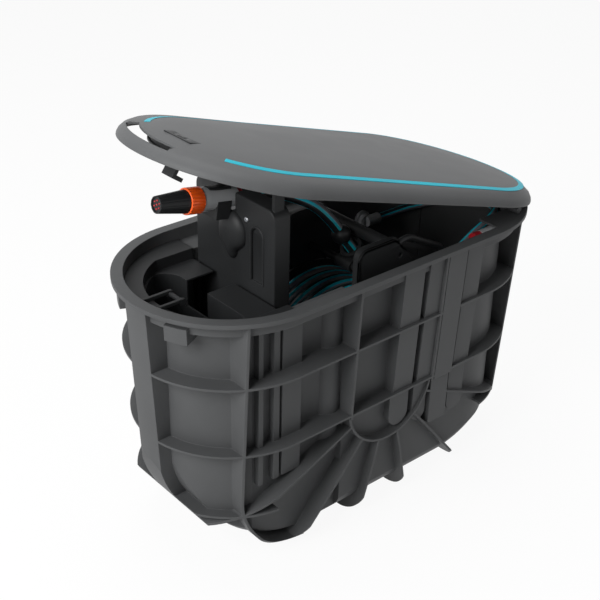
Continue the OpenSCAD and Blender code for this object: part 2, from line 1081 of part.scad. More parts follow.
module lock_slider() {
    color("#1c1c1c")
        lid_pose()
            translate([lock_x - lock_key[0] / 2, -lock_key[1] / 2, tub_h + lock_z[0] + lock_floor + seat])
                cube([lock_key[0], lock_key[1], lock_key_h - lock_floor]);
}

module latch_block() {
    color("#242424")
        lid_pose()
            difference() {
                translate([latch_x - ear_half, -hook_half - gap - ear_t, tub_h + ear_z[0]])
                    cube([2 * ear_half, 2 * (hook_half + gap + ear_t), ear_z[1] - ear_z[0]]);
                translate([latch_x - ear_half - over, -hook_half - gap, tub_h + ear_z[0] - over])
                    cube([2 * (ear_half + over), 2 * (hook_half + gap), ear_z[1] - ear_z[0] - ear_t + over]);
                rod([latch_x, latch_pin_z], latch_pin_r + fit, -end_r, end_r);
            }
}

module latch_pin() {
    color("silver")
        lid_pose()
            rod([latch_x, latch_pin_z], latch_pin_r, -hook_half - gap - ear_t, hook_half + gap + ear_t);
}

module latch_hook() {
    color("#3c3c3c")
        lid_pose()
            translate([latch_x, 0, latch_pin_z])
                rotate([0, hook_free, 0])
                    along_y(-hook_half, hook_half)
                        difference() {
                            union() {
                                circle(hook_hub);
                                translate([-hook_back, -hook_t])
                                    square([hook_back, hook_t]);
                                translate([-hook_back, -hook_reach])
                                    square([hook_t, hook_reach]);
                                translate([-hook_back, -hook_reach])
                                    square([hook_lip, hook_t]);
                            }
                            circle(latch_pin_r + fit);
                        }
}

// lift panel with its bar and nozzle dock

module panel_plan(inset) {
    soft_rect([inset - panel_half, panel_half - inset], [panel_bottom + inset, panel_top - inset],
              panel_corner - inset);
}

// A front-view outline (y, z) pulled along X
module along_x(x0, x1) {
    translate([x0, 0, 0])
        rotate([90, 0, 90])
            linear_extrude(x1 - x0)
                children();
}

module lift_panel() {
    color("#343434")
        difference() {
            union() {
                along_x(panel_x, panel_back)
                    panel_plan(0);
                for (s = [0, 1])
                    mirror([0, s, 0])
                        along_y(bar_ear_y - bar_ear_t / 2, bar_ear_y + bar_ear_t / 2) {
                            translate([bar_x, bar_z])
                                circle(2 * bar_r);
                            translate([bar_x - 2 * bar_r, panel_top - panel_skin])
                                square([4 * bar_r, bar_z - panel_top + panel_skin]);
                        }
            }
            along_x(panel_x + panel_skin, panel_back + over)
                panel_plan(panel_skin);
            translate([panel_x - over, nozzle_y - notch_half, notch_z])
                cube([panel_t + 2 * over, 2 * notch_half, tub_h]);
            rod([bar_x, bar_z], bar_r + fit, -end_r, end_r);
        }
}

module lift_bar() {
    color("silver")
        rod([bar_x, bar_z], bar_r, -bar_half, bar_half);
}

module nozzle_dock() {
    color("#262626")
        difference() {
            nozzle_pose()
                translate([-neck_r - dock_h / 2, -dock_half, dock_at[0]])
                    cube([neck_r + dock_h / 2, 2 * dock_half, dock_at[1] - dock_at[0]]);
            nozzle_pose()
                cylinder(h = nozzle_len, r = neck_r + seat);
            translate([panel_x, -end_r, 0])
                cube([panel_t, rim_wid, 2 * tub_h]);
        }
}

// nozzle, drawn along its axis

module nozzle_body() {
    color("#8c9094")
        nozzle_pose()
            rotate_extrude()
                polygon([[0, clip_at[1]], [neck_r - wall / 2, clip_at[1]], [neck_r, 2 * clip_at[1]],
                         [neck_r, dock_at[1]], [ring_r - wall / 2, ring_at[0] - 2 * wall],
                         [ring_r - wall / 2, ring_at[0] - seat], [0, ring_at[0] - seat]]);
}

module nozzle_insert() {
    color("#1e1e1e")
        nozzle_pose()
            difference() {
                rotate([90, 0, 0])
                    linear_extrude(neck_r, center = true)
                        polygon([[neck_r / 2, 2 * clip_at[1]], [neck_r + seat, 2 * clip_at[1]],
                                 [ring_r - wall / 2, dock_at[1] - wall], [ring_r - wall / 2, ring_at[0] - 3 * wall],
                                 [neck_r / 2, ring_at[0] - 3 * wall]]);
                rotate_extrude()
                    polygon([[0, clip_at[1]], [neck_r + fit, clip_at[1]], [neck_r + fit, dock_at[1] + fit],
                             [ring_r - wall / 2 + fit, ring_at[0] - 2 * wall], [0, ring_at[0]]]);
            }
}

module nozzle_clip_ring() {
    color("firebrick")
        nozzle_pose()
            translate([0, 0, clip_at[0]])
                cylinder(h = clip_at[1] - clip_at[0], r = clip_r);
}

module nozzle_coupling() {
    color("#1e1e1e")
        nozzle_pose()
            translate([0, 0, coupling_at])
                cylinder(h = clip_at[0] - coupling_at, r = coupling_r);
}

module nozzle_ring() {
    color("#e8561e")
        nozzle_pose()
            translate([0, 0, ring_at[0]])
                cylinder(h = ring_at[1] - ring_at[0], r1 = ring_r, r2 = ring_r - wall / 4);
}

flute_n = 12;
flute_r = 1.4;

module nozzle_tip() {
    color("#202020")
        nozzle_pose()
            difference() {
                translate([0, 0, ring_at[1]])
                    cylinder(h = nozzle_len - ring_at[1], r1 = ring_r - wall / 2, r2 = tip_r);
                translate([0, 0, nozzle_len - wall])
                    cylinder(h = wall + over, r = tip_r - wall / 2);
                for (i = [0:flute_n - 1])
                    rotate([0, 0, 360 * i / flute_n])
                        translate([ring_r - wall / 4, 0, ring_at[1] + wall])
                            rotate([0, -atan((ring_r - wall / 2 - tip_r) / (nozzle_len - ring_at[1])), 0])
                                cylinder(h = nozzle_len, r = flute_r);
            }
}

module spray_plate() {
    color("#b0302c")
        nozzle_pose()
            translate([0, 0, nozzle_len - wall])
                cylinder(h = wall / 2, r = tip_r - wall / 2 - seat);
}

// reel

module drum() {
    color("#2e2e2e")
        difference() {
            rod([0, axle_z], drum_r, drum_y[0], drum_y[1]);
            rod([0, axle_z], drum_r - wall, drum_y[0] + wall, drum_y[1] - wall);
            rod([0, axle_z], bush_r + fit, drum_y[0] - over, drum_y[1] + over);
        }
}

module flange(y0, y1) {
    difference() {
        rod([0, axle_z], flange_r, y0, y1);
        rod([0, axle_z], bush_r + fit, y0 - over, y1 + over);
    }
}

module near_flange() {
    color("#383838")
        flange(reel_y[0], drum_y[0]);
}

module far_flange() {
    color("#383838")
        flange(drum_y[1], reel_y[1]);
}

module reel_bushes() {
    color("white")
        for (y = [reel_y[0], reel_y[1] - bush_len])
            difference() {
                rod([0, axle_z], bush_r, y, y + bush_len);
                rod([0, axle_z], axle_r + fit, y - over, y + bush_len + over);
            }
}

module spring_arbor() {
    color("slategray")
        difference() {
            rod([0, axle_z], arbor_r, reel_y[1], case_y[1] - case_t - gap);
            rod([0, axle_z], axle_r + fit, reel_y[1] - over, case_y[1]);
        }
}

module hose_core() {
    color("#6a6868")
        difference() {
            rod([0, axle_z], core_r - wind_dip, drum_y[0] + seat, drum_y[1] - seat);
            rod([0, axle_z], drum_r + seat, drum_y[0] - over, drum_y[1] + over);
        }
}

// The outer layer climbs one pitch a turn and leaves along the tangent at both ends
wind_n = turns * wind_steps;
function wind_point(i) =
    let (a = wind_end_angle + 360 * (i - wind_n) / wind_steps)
    [wind_r * cos(a), wind_start_y - wind_pitch * i / wind_steps, axle_z + wind_r * sin(a)];
function wind_run(a, s) = [-s * hose_d * sin(a), 0, s * hose_d * cos(a)];
wind_path = concat([wind_point(0) + wind_run(wind_end_angle, -1)],
                   [for (i = [0:wind_n]) wind_point(i)],
                   [wind_point(wind_n) + wind_run(wind_end_angle, 1)]);
wind_gap = min([for (i = [0:wind_n - wind_steps]) norm(wind_point(i + wind_steps) - wind_point(i))]) - hose_d;
echo(least_gap_of_the_wound_hose = wind_gap);

module hose_winding() {
    color("#7d7a7a")
        tube(wind_path, hose_r, wind_sides, [0, 1, 0]);
}

module hose_guide() {
    color("#e0e0e0")
        difference() {
            union() {
                rod(guide_at, carriage_r, eye_at[1] - carriage_half, eye_at[1] + carriage_half);
                translate(eye_at)
                    rotate([0, eye_lean, 0])
                        cylinder(h = 2 * eye_half, r = eye_out, center = true);
            }
            rod(guide_at, guide_rail_r + fit, -end_r, end_r);
            translate(eye_at)
                rotate([0, eye_lean, 0])
                    cylinder(h = 4 * eye_half, r = eye_in, center = true);
        }
}

tub();
hinge_base();
hinge_pin();
well_tray();
lift_guides();
near_plate();
far_plate();
top_bar();
guide_rail();
axle();
spring_case();
main_spring();
frame_screws();
inlet_elbow();
inlet_nipple();
supply_hose();
connector_body();
connector_collar();
latch_catch();
leader_lower();
leader_middle();
leader_upper();
lid_cover();
lid_liner();
lid_stripe();
lid_lugs();
lock_plate();
lock_slider();
latch_block();
latch_pin();
latch_hook();
lift_panel();
lift_bar();
nozzle_dock();
nozzle_body();
nozzle_insert();
nozzle_clip_ring();
nozzle_coupling();
nozzle_ring();
nozzle_tip();
spray_plate();
drum();
near_flange();
far_flange();
reel_bushes();
spring_arbor();
hose_core();
hose_winding();
hose_guide();
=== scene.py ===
"""Looks of a garden hose reel box with its lid open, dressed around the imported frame."""
import logging
import math
from collections.abc import Callable, Sequence
from dataclasses import dataclass, field
from enum import Enum

import bmesh
import bpy
from mathutils import Matrix, Vector


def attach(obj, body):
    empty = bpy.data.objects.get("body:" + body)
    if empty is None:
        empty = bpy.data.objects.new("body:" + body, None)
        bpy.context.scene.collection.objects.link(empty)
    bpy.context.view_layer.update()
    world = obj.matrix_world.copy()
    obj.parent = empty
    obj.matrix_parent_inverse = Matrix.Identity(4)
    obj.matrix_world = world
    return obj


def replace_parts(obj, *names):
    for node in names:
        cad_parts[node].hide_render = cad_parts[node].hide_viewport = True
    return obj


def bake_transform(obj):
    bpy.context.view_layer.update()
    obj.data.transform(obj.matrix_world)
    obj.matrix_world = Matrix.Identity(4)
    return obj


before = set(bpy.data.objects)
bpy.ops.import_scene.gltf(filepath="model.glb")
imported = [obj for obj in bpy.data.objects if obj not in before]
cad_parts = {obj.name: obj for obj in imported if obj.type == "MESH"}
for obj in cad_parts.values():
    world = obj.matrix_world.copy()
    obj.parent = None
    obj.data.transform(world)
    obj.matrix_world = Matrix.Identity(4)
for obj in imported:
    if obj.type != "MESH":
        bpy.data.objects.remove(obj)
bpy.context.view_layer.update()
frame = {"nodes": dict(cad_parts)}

MM = 0.001
SMOOTH_DEG = 35.0  # edges sharper than this stay crisp
DRAFT_MM = 0.2  # how far a sunk face draws in, as in a mould
WHITE = (1.0, 1.0, 1.0, 1.0)
Piece = bpy.types.Object
Tree = bpy.types.NodeTree
Socket = bpy.types.NodeSocket
Colour = tuple[float, float, float, float]
Spot = tuple[float, float, float]
NODES: dict[str, Piece] = frame["nodes"]
log = logging.getLogger("hose_reel_box")


class Slot(Enum):
    """Material slots of the record that new pieces take their finish from."""

    TUB = "tub_plastic"
    LID = "lid_plastic"
    DARK = "dark_plastic"
    BLACK = "black_plastic"
    GREY = "grey_plastic"
    ORANGE = "orange_plastic"
    RED = "red_plastic"
    TEAL = "teal_plastic"
    HOSE = "hose"
    STEEL = "steel"


def linear(colour: str) -> Colour:
    """Turns an sRGB hex colour into linear light.

    Args:
        colour: Six hex digits after a hash sign.

    Returns:
        Red, green, blue and alpha for a colour socket.
    """
    parts = [int(colour[i:i + 2], 16) / 255 for i in (1, 3, 5)]
    lit = [c / 12.92 if c <= 0.04045 else ((c + 0.055) / 1.055) ** 2.4 for c in parts]
    return (lit[0], lit[1], lit[2], 1.0)


def add_node(tree: Tree, kind: str, settings: dict | None = None, inputs: dict | None = None) -> bpy.types.Node:
    """Adds one node with its settings, values and links.

    Args:
        tree: Node tree that takes the node.
        kind: Blender's name for the node.
        settings: Properties of the node itself.
        inputs: Values for its sockets, or the sockets that feed them.

    Returns:
        The new node.
    """
    made = tree.nodes.new(kind)
    for name, value in (settings or {}).items():
        setattr(made, name, value)
    for name, value in (inputs or {}).items():
        if isinstance(value, Socket):
            tree.links.new(value, made.inputs[name])
        else:
            made.inputs[name].default_value = value
    return made


def blank_material(name: str) -> tuple[bpy.types.Material, Tree]:
    """Starts an empty node material.

    Args:
        name: Name of the real material.

    Returns:
        The material and its cleared node tree.
    """
    material = bpy.data.materials.new(name)
    material.use_nodes = True
    material.node_tree.nodes.clear()
    return material, material.node_tree


def maths(tree: Tree, operation: str, *values: Socket | float) -> Socket:
    """Works one number out from others, by Blender's name for the operation."""
    return add_node(tree, "ShaderNodeMath", {"operation": operation}, dict(enumerate(values))).outputs[0]


def spread(tree: Tree, value: Socket, span: tuple[float, float], onto: tuple[float, float] = (0.0, 1.0)) -> Socket:
    """Spreads one span of a value onto another and holds it beyond the ends."""
    ends = {"From Min": span[0], "From Max": span[1], "To Min": onto[0], "To Max": onto[1]}
    return add_node(tree, "ShaderNodeMapRange", inputs={"Value": value, **ends}).outputs["Result"]


def mixed(tree: Tree, share: Socket | float, one: Socket | Colour, other: Socket | Colour, how: str = "MIX") -> Socket:
    """Mixes two colours by a share."""
    inputs = {"Factor": share, "A": one, "B": other}
    return add_node(tree, "ShaderNodeMix", {"data_type": "RGBA", "blend_type": how}, inputs).outputs["Result"]


def surface(tree: Tree, inputs: dict) -> None:
    """Ends a material with its shader, whose sockets take values or other sockets."""
    shader = add_node(tree, "ShaderNodeBsdfPrincipled", inputs=inputs)
    add_node(tree, "ShaderNodeOutputMaterial", inputs={"Surface": shader.outputs["BSDF"]})


@dataclass(frozen=True)
class MouldedPlastic:
    """Injection-moulded polypropylene or ABS out of a spark-eroded tool.

    The tool's grain breaks up the shine, the skin is a little blotchy where the melt
    cooled, and edges where the rounded normal bends are painted paler, a painted highlight for light caught on the
    rims.
    """

    name: str
    colour: str
    roughness: float
    grain_mm: float = 1.4
    grain_depth_mm: float = 0.05
    edge_mm: float = 1.2
    painted_edge_highlight: float = 0.25
    blotch_mm: float = 70.0
    blotch_gain: tuple[float, float] = (0.92, 1.08)
    shine: float = 0.22
    uneven: float = 0.05

    def tint(self, gain: float, lift: float = 0.0) -> Colour:
        """The plastic's colour made lighter or darker."""
        red, green, blue = (min(1.0, c * gain + lift) for c in linear(self.colour)[:3])
        return (red, green, blue, 1.0)

    def make(self) -> bpy.types.Material:
        """Builds the node material.

        Returns:
            The material.
        """
        material, tree = blank_material(self.name)
        where = add_node(tree, "ShaderNodeTexCoord").outputs["Object"]
        # the real grain is about 0.2 mm, drawn coarser so that it shows in the picture
        grain = add_node(tree, "ShaderNodeTexNoise", inputs={
            "Vector": where, "Scale": 1000 / self.grain_mm, "Detail": 2.0, "Roughness": 0.6}).outputs["Fac"]
        blotch = add_node(tree, "ShaderNodeTexNoise", inputs={
            "Vector": where, "Scale": 1000 / self.blotch_mm, "Detail": 4.0, "Roughness": 0.55}).outputs["Fac"]
        soft_edge = add_node(tree, "ShaderNodeBevel", {"samples": 4}, {"Radius": self.edge_mm * MM}).outputs[0]
        facing = add_node(tree, "ShaderNodeNewGeometry").outputs["Normal"]
        bent = add_node(tree, "ShaderNodeVectorMath", {"operation": "DOT_PRODUCT"}, {0: soft_edge, 1: facing})
        # painted highlight: near every edge, convex or concave, the colour is lightened to stand in for light caught
        # on the rims
        edge = spread(tree, bent.outputs["Value"], (0.995, 0.80), (0.0, self.painted_edge_highlight))
        skin = mixed(tree, spread(tree, blotch, (0.3, 0.7)), *(self.tint(gain) for gain in self.blotch_gain))
        gloss = spread(tree, blotch, (0.25, 0.75), (self.roughness - self.uneven, self.roughness + self.uneven))
        bump = add_node(tree, "ShaderNodeBump", inputs={
            "Strength": 0.6, "Distance": self.grain_depth_mm * MM, "Height": grain, "Normal": soft_edge})
        # the base colour mixes in a paler tint of the plastic at the edges, which is the painted edge highlight
        surface(tree, {
            "Base Color": mixed(tree, edge, skin, self.tint(1.5, 0.03)), "Roughness": gloss,
            "Normal": bump.outputs["Normal"], "Specular IOR Level": self.shine})
        return material


@dataclass(frozen=True)
class ZincSteel:
    """Zinc-plated steel, drawn or stamped: a bright grey metal with faint draw lines."""

    name: str
    colour: str
    roughness: float
    line_mm: float = 0.8
    spangle_mm: float = 4.0

    def make(self) -> bpy.types.Material:
        """Builds the node material.

        Returns:
            The material.
        """
        material, tree = blank_material(self.name)
        where = add_node(tree, "ShaderNodeTexCoord").outputs["Object"]
        spangle = add_node(tree, "ShaderNodeTexVoronoi", inputs={
            "Vector": where, "Scale": 1000 / self.spangle_mm})
        lines = add_node(tree, "ShaderNodeTexNoise", inputs={
            "Vector": where, "Scale": 1000 / self.line_mm, "Detail": 3.0})
        gloss = spread(tree, spangle.outputs["Distance"], (0.0, 0.003), (self.roughness - 0.06, self.roughness + 0.08))
        bump = add_node(tree, "ShaderNodeBump", inputs={
            "Strength": 0.3, "Distance": 0.02 * MM, "Height": lines.outputs["Fac"]})
        surface(tree, {
            "Base Color": linear(self.colour), "Metallic": 1.0,
            "Roughness": gloss, "Normal": bump.outputs["Normal"]})
        return material


@dataclass(frozen=True)
class BandedHose:
    """Extruded PVC garden hose: pale and dark strips along its length with a bright line between them.

    The skin has a waxy shine, fine draw lines along the run and a faint swell from the
    braid underneath.
    """

    name: str
    pale: str
    dark: str
    line: str
    strips: int
    line_share: float
    roughness: float
    haze_mm: float = 25.0
    dust: float = 0.2
    uneven: float = 0.06

    def make(self) -> bpy.types.Material:
        """Builds the node material; the UV map runs round the hose in U and along it in V, in metres.

        Returns:
            The material.
        """
        material, tree = blank_material(self.name)
        place = add_node(tree, "ShaderNodeUVMap", {"uv_map": "run"}).outputs["UV"]
        across = add_node(tree, "ShaderNodeSeparateXYZ", inputs={"Vector": place}).outputs["X"]
        phase = maths(tree, "FRACT", maths(tree, "MULTIPLY", across, float(self.strips)))
        away = maths(tree, "ABSOLUTE", maths(tree, "SUBTRACT", phase, 0.5))
        off_line = maths(tree, "ABSOLUTE", maths(tree, "SUBTRACT", away, 0.25))
        half = self.line_share / 2
        where = add_node(tree, "ShaderNodeTexCoord").outputs["Object"]
        haze = add_node(tree, "ShaderNodeTexNoise", inputs={
            "Vector": where, "Scale": 1000 / self.haze_mm, "Detail": 4.0}).outputs
        strips = mixed(tree, spread(tree, away, (0.24, 0.26)), linear(self.pale), linear(self.dark))
        skin = mixed(tree, spread(tree, off_line, (half + 0.01, half - 0.01)), strips, linear(self.line))
        gloss = spread(tree, haze["Fac"], (0.3, 0.7), (self.roughness - self.uneven, self.roughness + self.uneven))
        stretched = add_node(tree, "ShaderNodeVectorMath", {"operation": "MULTIPLY"}, {
            0: place, 1: (60.0, 40.0, 1.0)})
        lines = add_node(tree, "ShaderNodeTexNoise", {"noise_dimensions": "2D"}, {
            "Vector": stretched.outputs["Vector"], "Scale": 1.0, "Detail": 2.0})
        bump = add_node(tree, "ShaderNodeBump", inputs={
            "Strength": 0.4, "Distance": 0.15 * MM, "Height": lines.outputs["Fac"]})
        # a thin film of dust takes some of the colour out in patches
        surface(tree, {
            "Base Color": mixed(tree, self.dust, skin, haze["Color"], "MULTIPLY"), "Roughness": gloss,
            "Normal": bump.outputs["Normal"], "Specular IOR Level": 0.35})
        return material


@dataclass
class Finishes:
    """Every finish of the box, made once and shared by the pieces that carry it."""

    made: dict[Slot, bpy.types.Material] = field(init=False)

    def __post_init__(self) -> None:
        """Makes the materials."""
        finishes = {
            Slot.TUB: MouldedPlastic("moulded_polypropylene_tub", "#4d4e4f", 0.55),
            Slot.LID: MouldedPlastic("moulded_polypropylene_lid", "#555657", 0.52),
            Slot.DARK: MouldedPlastic("moulded_polypropylene_inner", "#262728", 0.50),
            Slot.BLACK: MouldedPlastic("glass_filled_nylon_black", "#202122", 0.42),
            Slot.GREY: MouldedPlastic("abs_nozzle_grey", "#b2b4b6", 0.36, shine=0.5),
            Slot.ORANGE: MouldedPlastic("abs_orange", "#ff5f14", 0.34, shine=0.5),
            Slot.RED: MouldedPlastic("acetal_red", "#a81f28", 0.30, shine=0.5),
            Slot.TEAL: MouldedPlastic("tpe_inlay_teal", "#16aec2", 0.45, grain_depth_mm=0.02),
            Slot.HOSE: BandedHose("pvc_hose_banded", "#8a878d", "#2a2b2d", "#22cfe6", 2, 0.17, 0.36),
            Slot.STEEL: ZincSteel("zinc_plated_steel", "#b9bcc0", 0.32),
        }
        self.made = {slot: finish.make() for slot, finish in finishes.items()}

    def dress(self, nodes: dict[str, Piece]) -> None:
        """Gives every CAD node its finish.

        Args:
            nodes: CAD objects by node name.
        """
        wears = {
            Slot.TUB: "tub hinge_base",
            Slot.LID: "lid_cover",
            Slot.DARK: "well_tray lift_guides near_plate far_plate top_bar guide_rail axle latch_catch lid_liner "
                       "lid_lugs lock_plate latch_block latch_hook lift_panel lift_bar nozzle_dock drum near_flange "
                       "far_flange spring_arbor hose_guide",
            Slot.BLACK: "spring_case inlet_elbow lock_slider nozzle_insert nozzle_coupling nozzle_tip spray_plate "
                        "reel_bushes",
            Slot.GREY: "inlet_nipple connector_body nozzle_body",
            Slot.ORANGE: "nozzle_ring",
            Slot.RED: "connector_collar nozzle_clip_ring",
            Slot.TEAL: "lid_stripe",
            Slot.HOSE: "supply_hose leader_lower leader_middle leader_upper hose_core hose_winding",
            Slot.STEEL: "hinge_pin main_spring frame_screws latch_pin",
        }
        worn = {name: self.made[slot] for slot, names in wears.items() for name in names.split()}
        for name, cad in nodes.items():
            cad.data.materials.clear()
            cad.data.materials.append(worn[name])


@dataclass
class Assembly:
    """A group of pieces, with the tools that model them, pick their faces by place and hand them to the frame."""

    finishes: Finishes

    def focus(self, piece: Piece) -> None:
        """Makes a piece the only one selected, and the active one.

        Args:
            piece: The piece.
        """
        bpy.ops.object.select_all(action="DESELECT")
        piece.select_set(True)
        bpy.context.view_layer.objects.active = piece

    def pick(self, piece: Piece, test: Callable[[Vector, Vector], bool], kind: str = "FACE") -> None:
        """Opens a piece for editing with the faces, edges or corners selected that pass a test.

        Args:
            piece: Piece to open.
            test: Says yes or no from an element's middle and its normal, or an edge's run.
            kind: Blender's name for the kind of element.
        """
        bpy.context.view_layer.objects.active = piece
        bpy.ops.object.mode_set(mode="EDIT")
        bpy.ops.mesh.select_mode(type=kind)
        bpy.ops.mesh.select_all(action="DESELECT")
        work = bmesh.from_edit_mesh(piece.data)
        if kind == "FACE":
            found = [(face, face.calc_center_median(), face.normal) for face in work.faces]
        elif kind == "EDGE":
            ends = [(edge, *(vert.co for vert in edge.verts)) for edge in work.edges]
            found = [(edge, (one + two) / 2, one - two) for edge, one, two in ends]
        else:
            found = [(vert, vert.co, vert.normal) for vert in work.verts]
        for element, mid, way in found:
            element.select_set(test(mid, way))
        bmesh.update_edit_mesh(piece.data)

    def cut(self, piece: Piece, cutter: Piece) -> None:
        """Cuts one piece out of another and throws the cutter away.

        Args:
            piece: Piece that is cut.
            cutter: Solid that is taken out of it.
        """
        self.focus(piece)
        step = piece.modifiers.new("cut", "BOOLEAN")
        step.operation = "DIFFERENCE"
        step.object = cutter
        bpy.ops.object.modifier_apply(modifier=step.name)
        bpy.data.objects.remove(cutter)

    def thicken(self, piece: Piece, wall_mm: float) -> None:
        """Gives a skin its wall, inwards.

        Args:
            piece: Open skin.
            wall_mm: Wall in mm.
        """
        self.focus(piece)
        step = piece.modifiers.new("wall", "SOLIDIFY")
        step.thickness = wall_mm * MM
        step.offset = -1.0
        bpy.ops.object.modifier_apply(modifier=step.name)

    def block(self, low: Spot, high: Spot, round_mm: float = 0.0) -> Piece:
        """Starts a block between two corners, with all its edges rounded.

        Args:
            low: Lowest corner in mm.
            high: Highest corner in mm.
            round_mm: Radius of the edges in mm.

        Returns:
            The block.
        """
        bpy.ops.object.select_all(action="DESELECT")
        bpy.ops.mesh.primitive_cube_add(size=1.0, location=[(a + b) / 2 * MM for a, b in zip(low, high)],
                                        scale=[(b - a) * MM for a, b in zip(low, high)])
        block = bpy.context.object
        bpy.ops.object.transform_apply()
        if round_mm:
            self.pick(block, lambda mid, normal: True)
            bpy.ops.mesh.bevel(offset=round_mm * MM, segments=4)
            self.close()
        return block

    def rod(self, radius_mm: float, long_mm: float, spot_mm: Sequence[float], sides: int,
            turn: Spot = (0.0, 0.0, 0.0)) -> Piece:
        """Starts a round rod.

        Args:
            radius_mm: Its radius in mm.
            long_mm: Its length in mm.
            spot_mm: Its middle in mm.
            sides: How many flats it has.
            turn: Rotation from upright, in radians.

        Returns:
            The rod, not yet applied.
        """
        bpy.ops.object.select_all(action="DESELECT")
        bpy.ops.mesh.primitive_cylinder_add(vertices=sides, radius=radius_mm * MM, depth=long_mm * MM, rotation=turn,
                                            location=[c * MM for c in spot_mm])
        return bpy.context.object

    def ball(self, radius_mm: float, spot_mm: Sequence[float], segments: int, rings: int) -> Piece:
        """Starts a ball.

        Args:
            radius_mm: Its radius in mm.
            spot_mm: Its middle in mm.
            segments: Faces round it.
            rings: Faces from pole to pole.

        Returns:
            The ball, not yet applied.
        """
        bpy.ops.object.select_all(action="DESELECT")
        bpy.ops.mesh.primitive_uv_sphere_add(segments=segments, ring_count=rings, radius=radius_mm * MM,
                                             location=[c * MM for c in spot_mm])
        return bpy.context.object

    def drawn(self, loops: list[list[Spot]], space: str, closed: bool, **settings: float | str | bool) -> Piece:
        """Draws lines as a curve and turns it into a mesh.

        Args:
            loops: Lines, each a list of points in mm.
            space: Whether the curve is flat, "2D" or "3D".
            closed: Whether each line returns to its start.
            settings: Thickness and fill of the curve.

        Returns:
            The mesh.
        """
        curve = bpy.data.curves.new("drawn", "CURVE")
        curve.dimensions = space
        for loop in loops:
            run = curve.splines.new("POLY")
            run.points.add(len(loop) - 1)
            for point, spot in zip(run.points, loop):
                point.co = (*(c * MM for c in spot), 1.0)
            run.use_cyclic_u = closed
        for name, value in settings.items():
            setattr(curve, name, value)
        shape = bpy.data.objects.new("drawn", curve)
        bpy.context.scene.collection.objects.link(shape)
        self.focus(shape)
        bpy.ops.object.convert(target="MESH")
        return bpy.context.object

    def strip(self, line: list[Spot], half_mm: float, deep_mm: float) -> Piece:
        """Pulls an upright wall along a level line.

        Args:
            line: Points of the line in mm.
            half_mm: Half the thickness of the wall in mm.
            deep_mm: Height of the wall in mm.

        Returns:
            The wall.
        """
        wall = self.drawn([[(x, y, 0.0) for x, y, _ in line]], "2D", False, extrude=deep_mm / 2 * MM,
                          bevel_depth=half_mm * MM, bevel_resolution=4, use_fill_caps=True)
        wall.location.z = line[0][2] * MM
        bpy.ops.object.transform_apply()
        return wall

    def plate(self, outline: list[tuple[float, float]], thick_mm: float, soft_mm: float,
              holes: tuple[list[tuple[float, float]], ...] = ()) -> Piece:
        """Cuts a plate with softened edges out of a sheet that lies in the XY plane.

        Args:
            outline: Corners of the plate in mm.
            thick_mm: Its thickness in mm.
            soft_mm: Radius of its edges in mm.
            holes: Outlines of its holes in mm.

        Returns:
            The plate, with its middle at Z = 0.
        """
        loops = [[(x, y, 0.0) for x, y in loop] for loop in (outline, *holes)]
        return self.drawn(loops, "2D", True, fill_mode="BOTH", extrude=(thick_mm / 2 - soft_mm) * MM,
                          bevel_depth=soft_mm * MM, bevel_resolution=2, offset=-soft_mm * MM)

    def close(self) -> None:
        """Goes back to object mode."""
        bpy.ops.object.mode_set(mode="OBJECT")

    def join(self, pieces: list[Piece]) -> Piece:
        """Makes one piece of several.

        Args:
            pieces: Pieces to join, the first of which stays.

        Returns:
            The joined piece.
        """
        bpy.ops.object.select_all(action="DESELECT")
        for piece in pieces:
            piece.select_set(True)
        bpy.context.view_layer.objects.active = pieces[0]
        bpy.ops.object.join()
        return pieces[0]

    def deliver(self, piece: Piece, name: str, slot: Slot, body: str, place: Matrix | None = None) -> Piece:
        """Puts a piece in its place, finishes it and lets it ride on a body.

        Args:
            piece: The modelled piece.
            name: Its name.
            slot: Its material slot in the record, which gives its finish.
            body: Body that carries it.
            place: Where it goes, when it was modelled at the origin.

        Returns:
            The piece.
        """
        if place is not None:
            piece.matrix_world = place @ piece.matrix_world
        self.focus(piece)
        bpy.ops.object.transform_apply()
        bpy.ops.object.shade_smooth_by_angle(angle=math.radians(SMOOTH_DEG))
        piece.name = name
        piece.data.name = name
        piece.data.materials.clear()
        piece.data.materials.append(self.finishes.made[slot])
        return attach(piece, body)


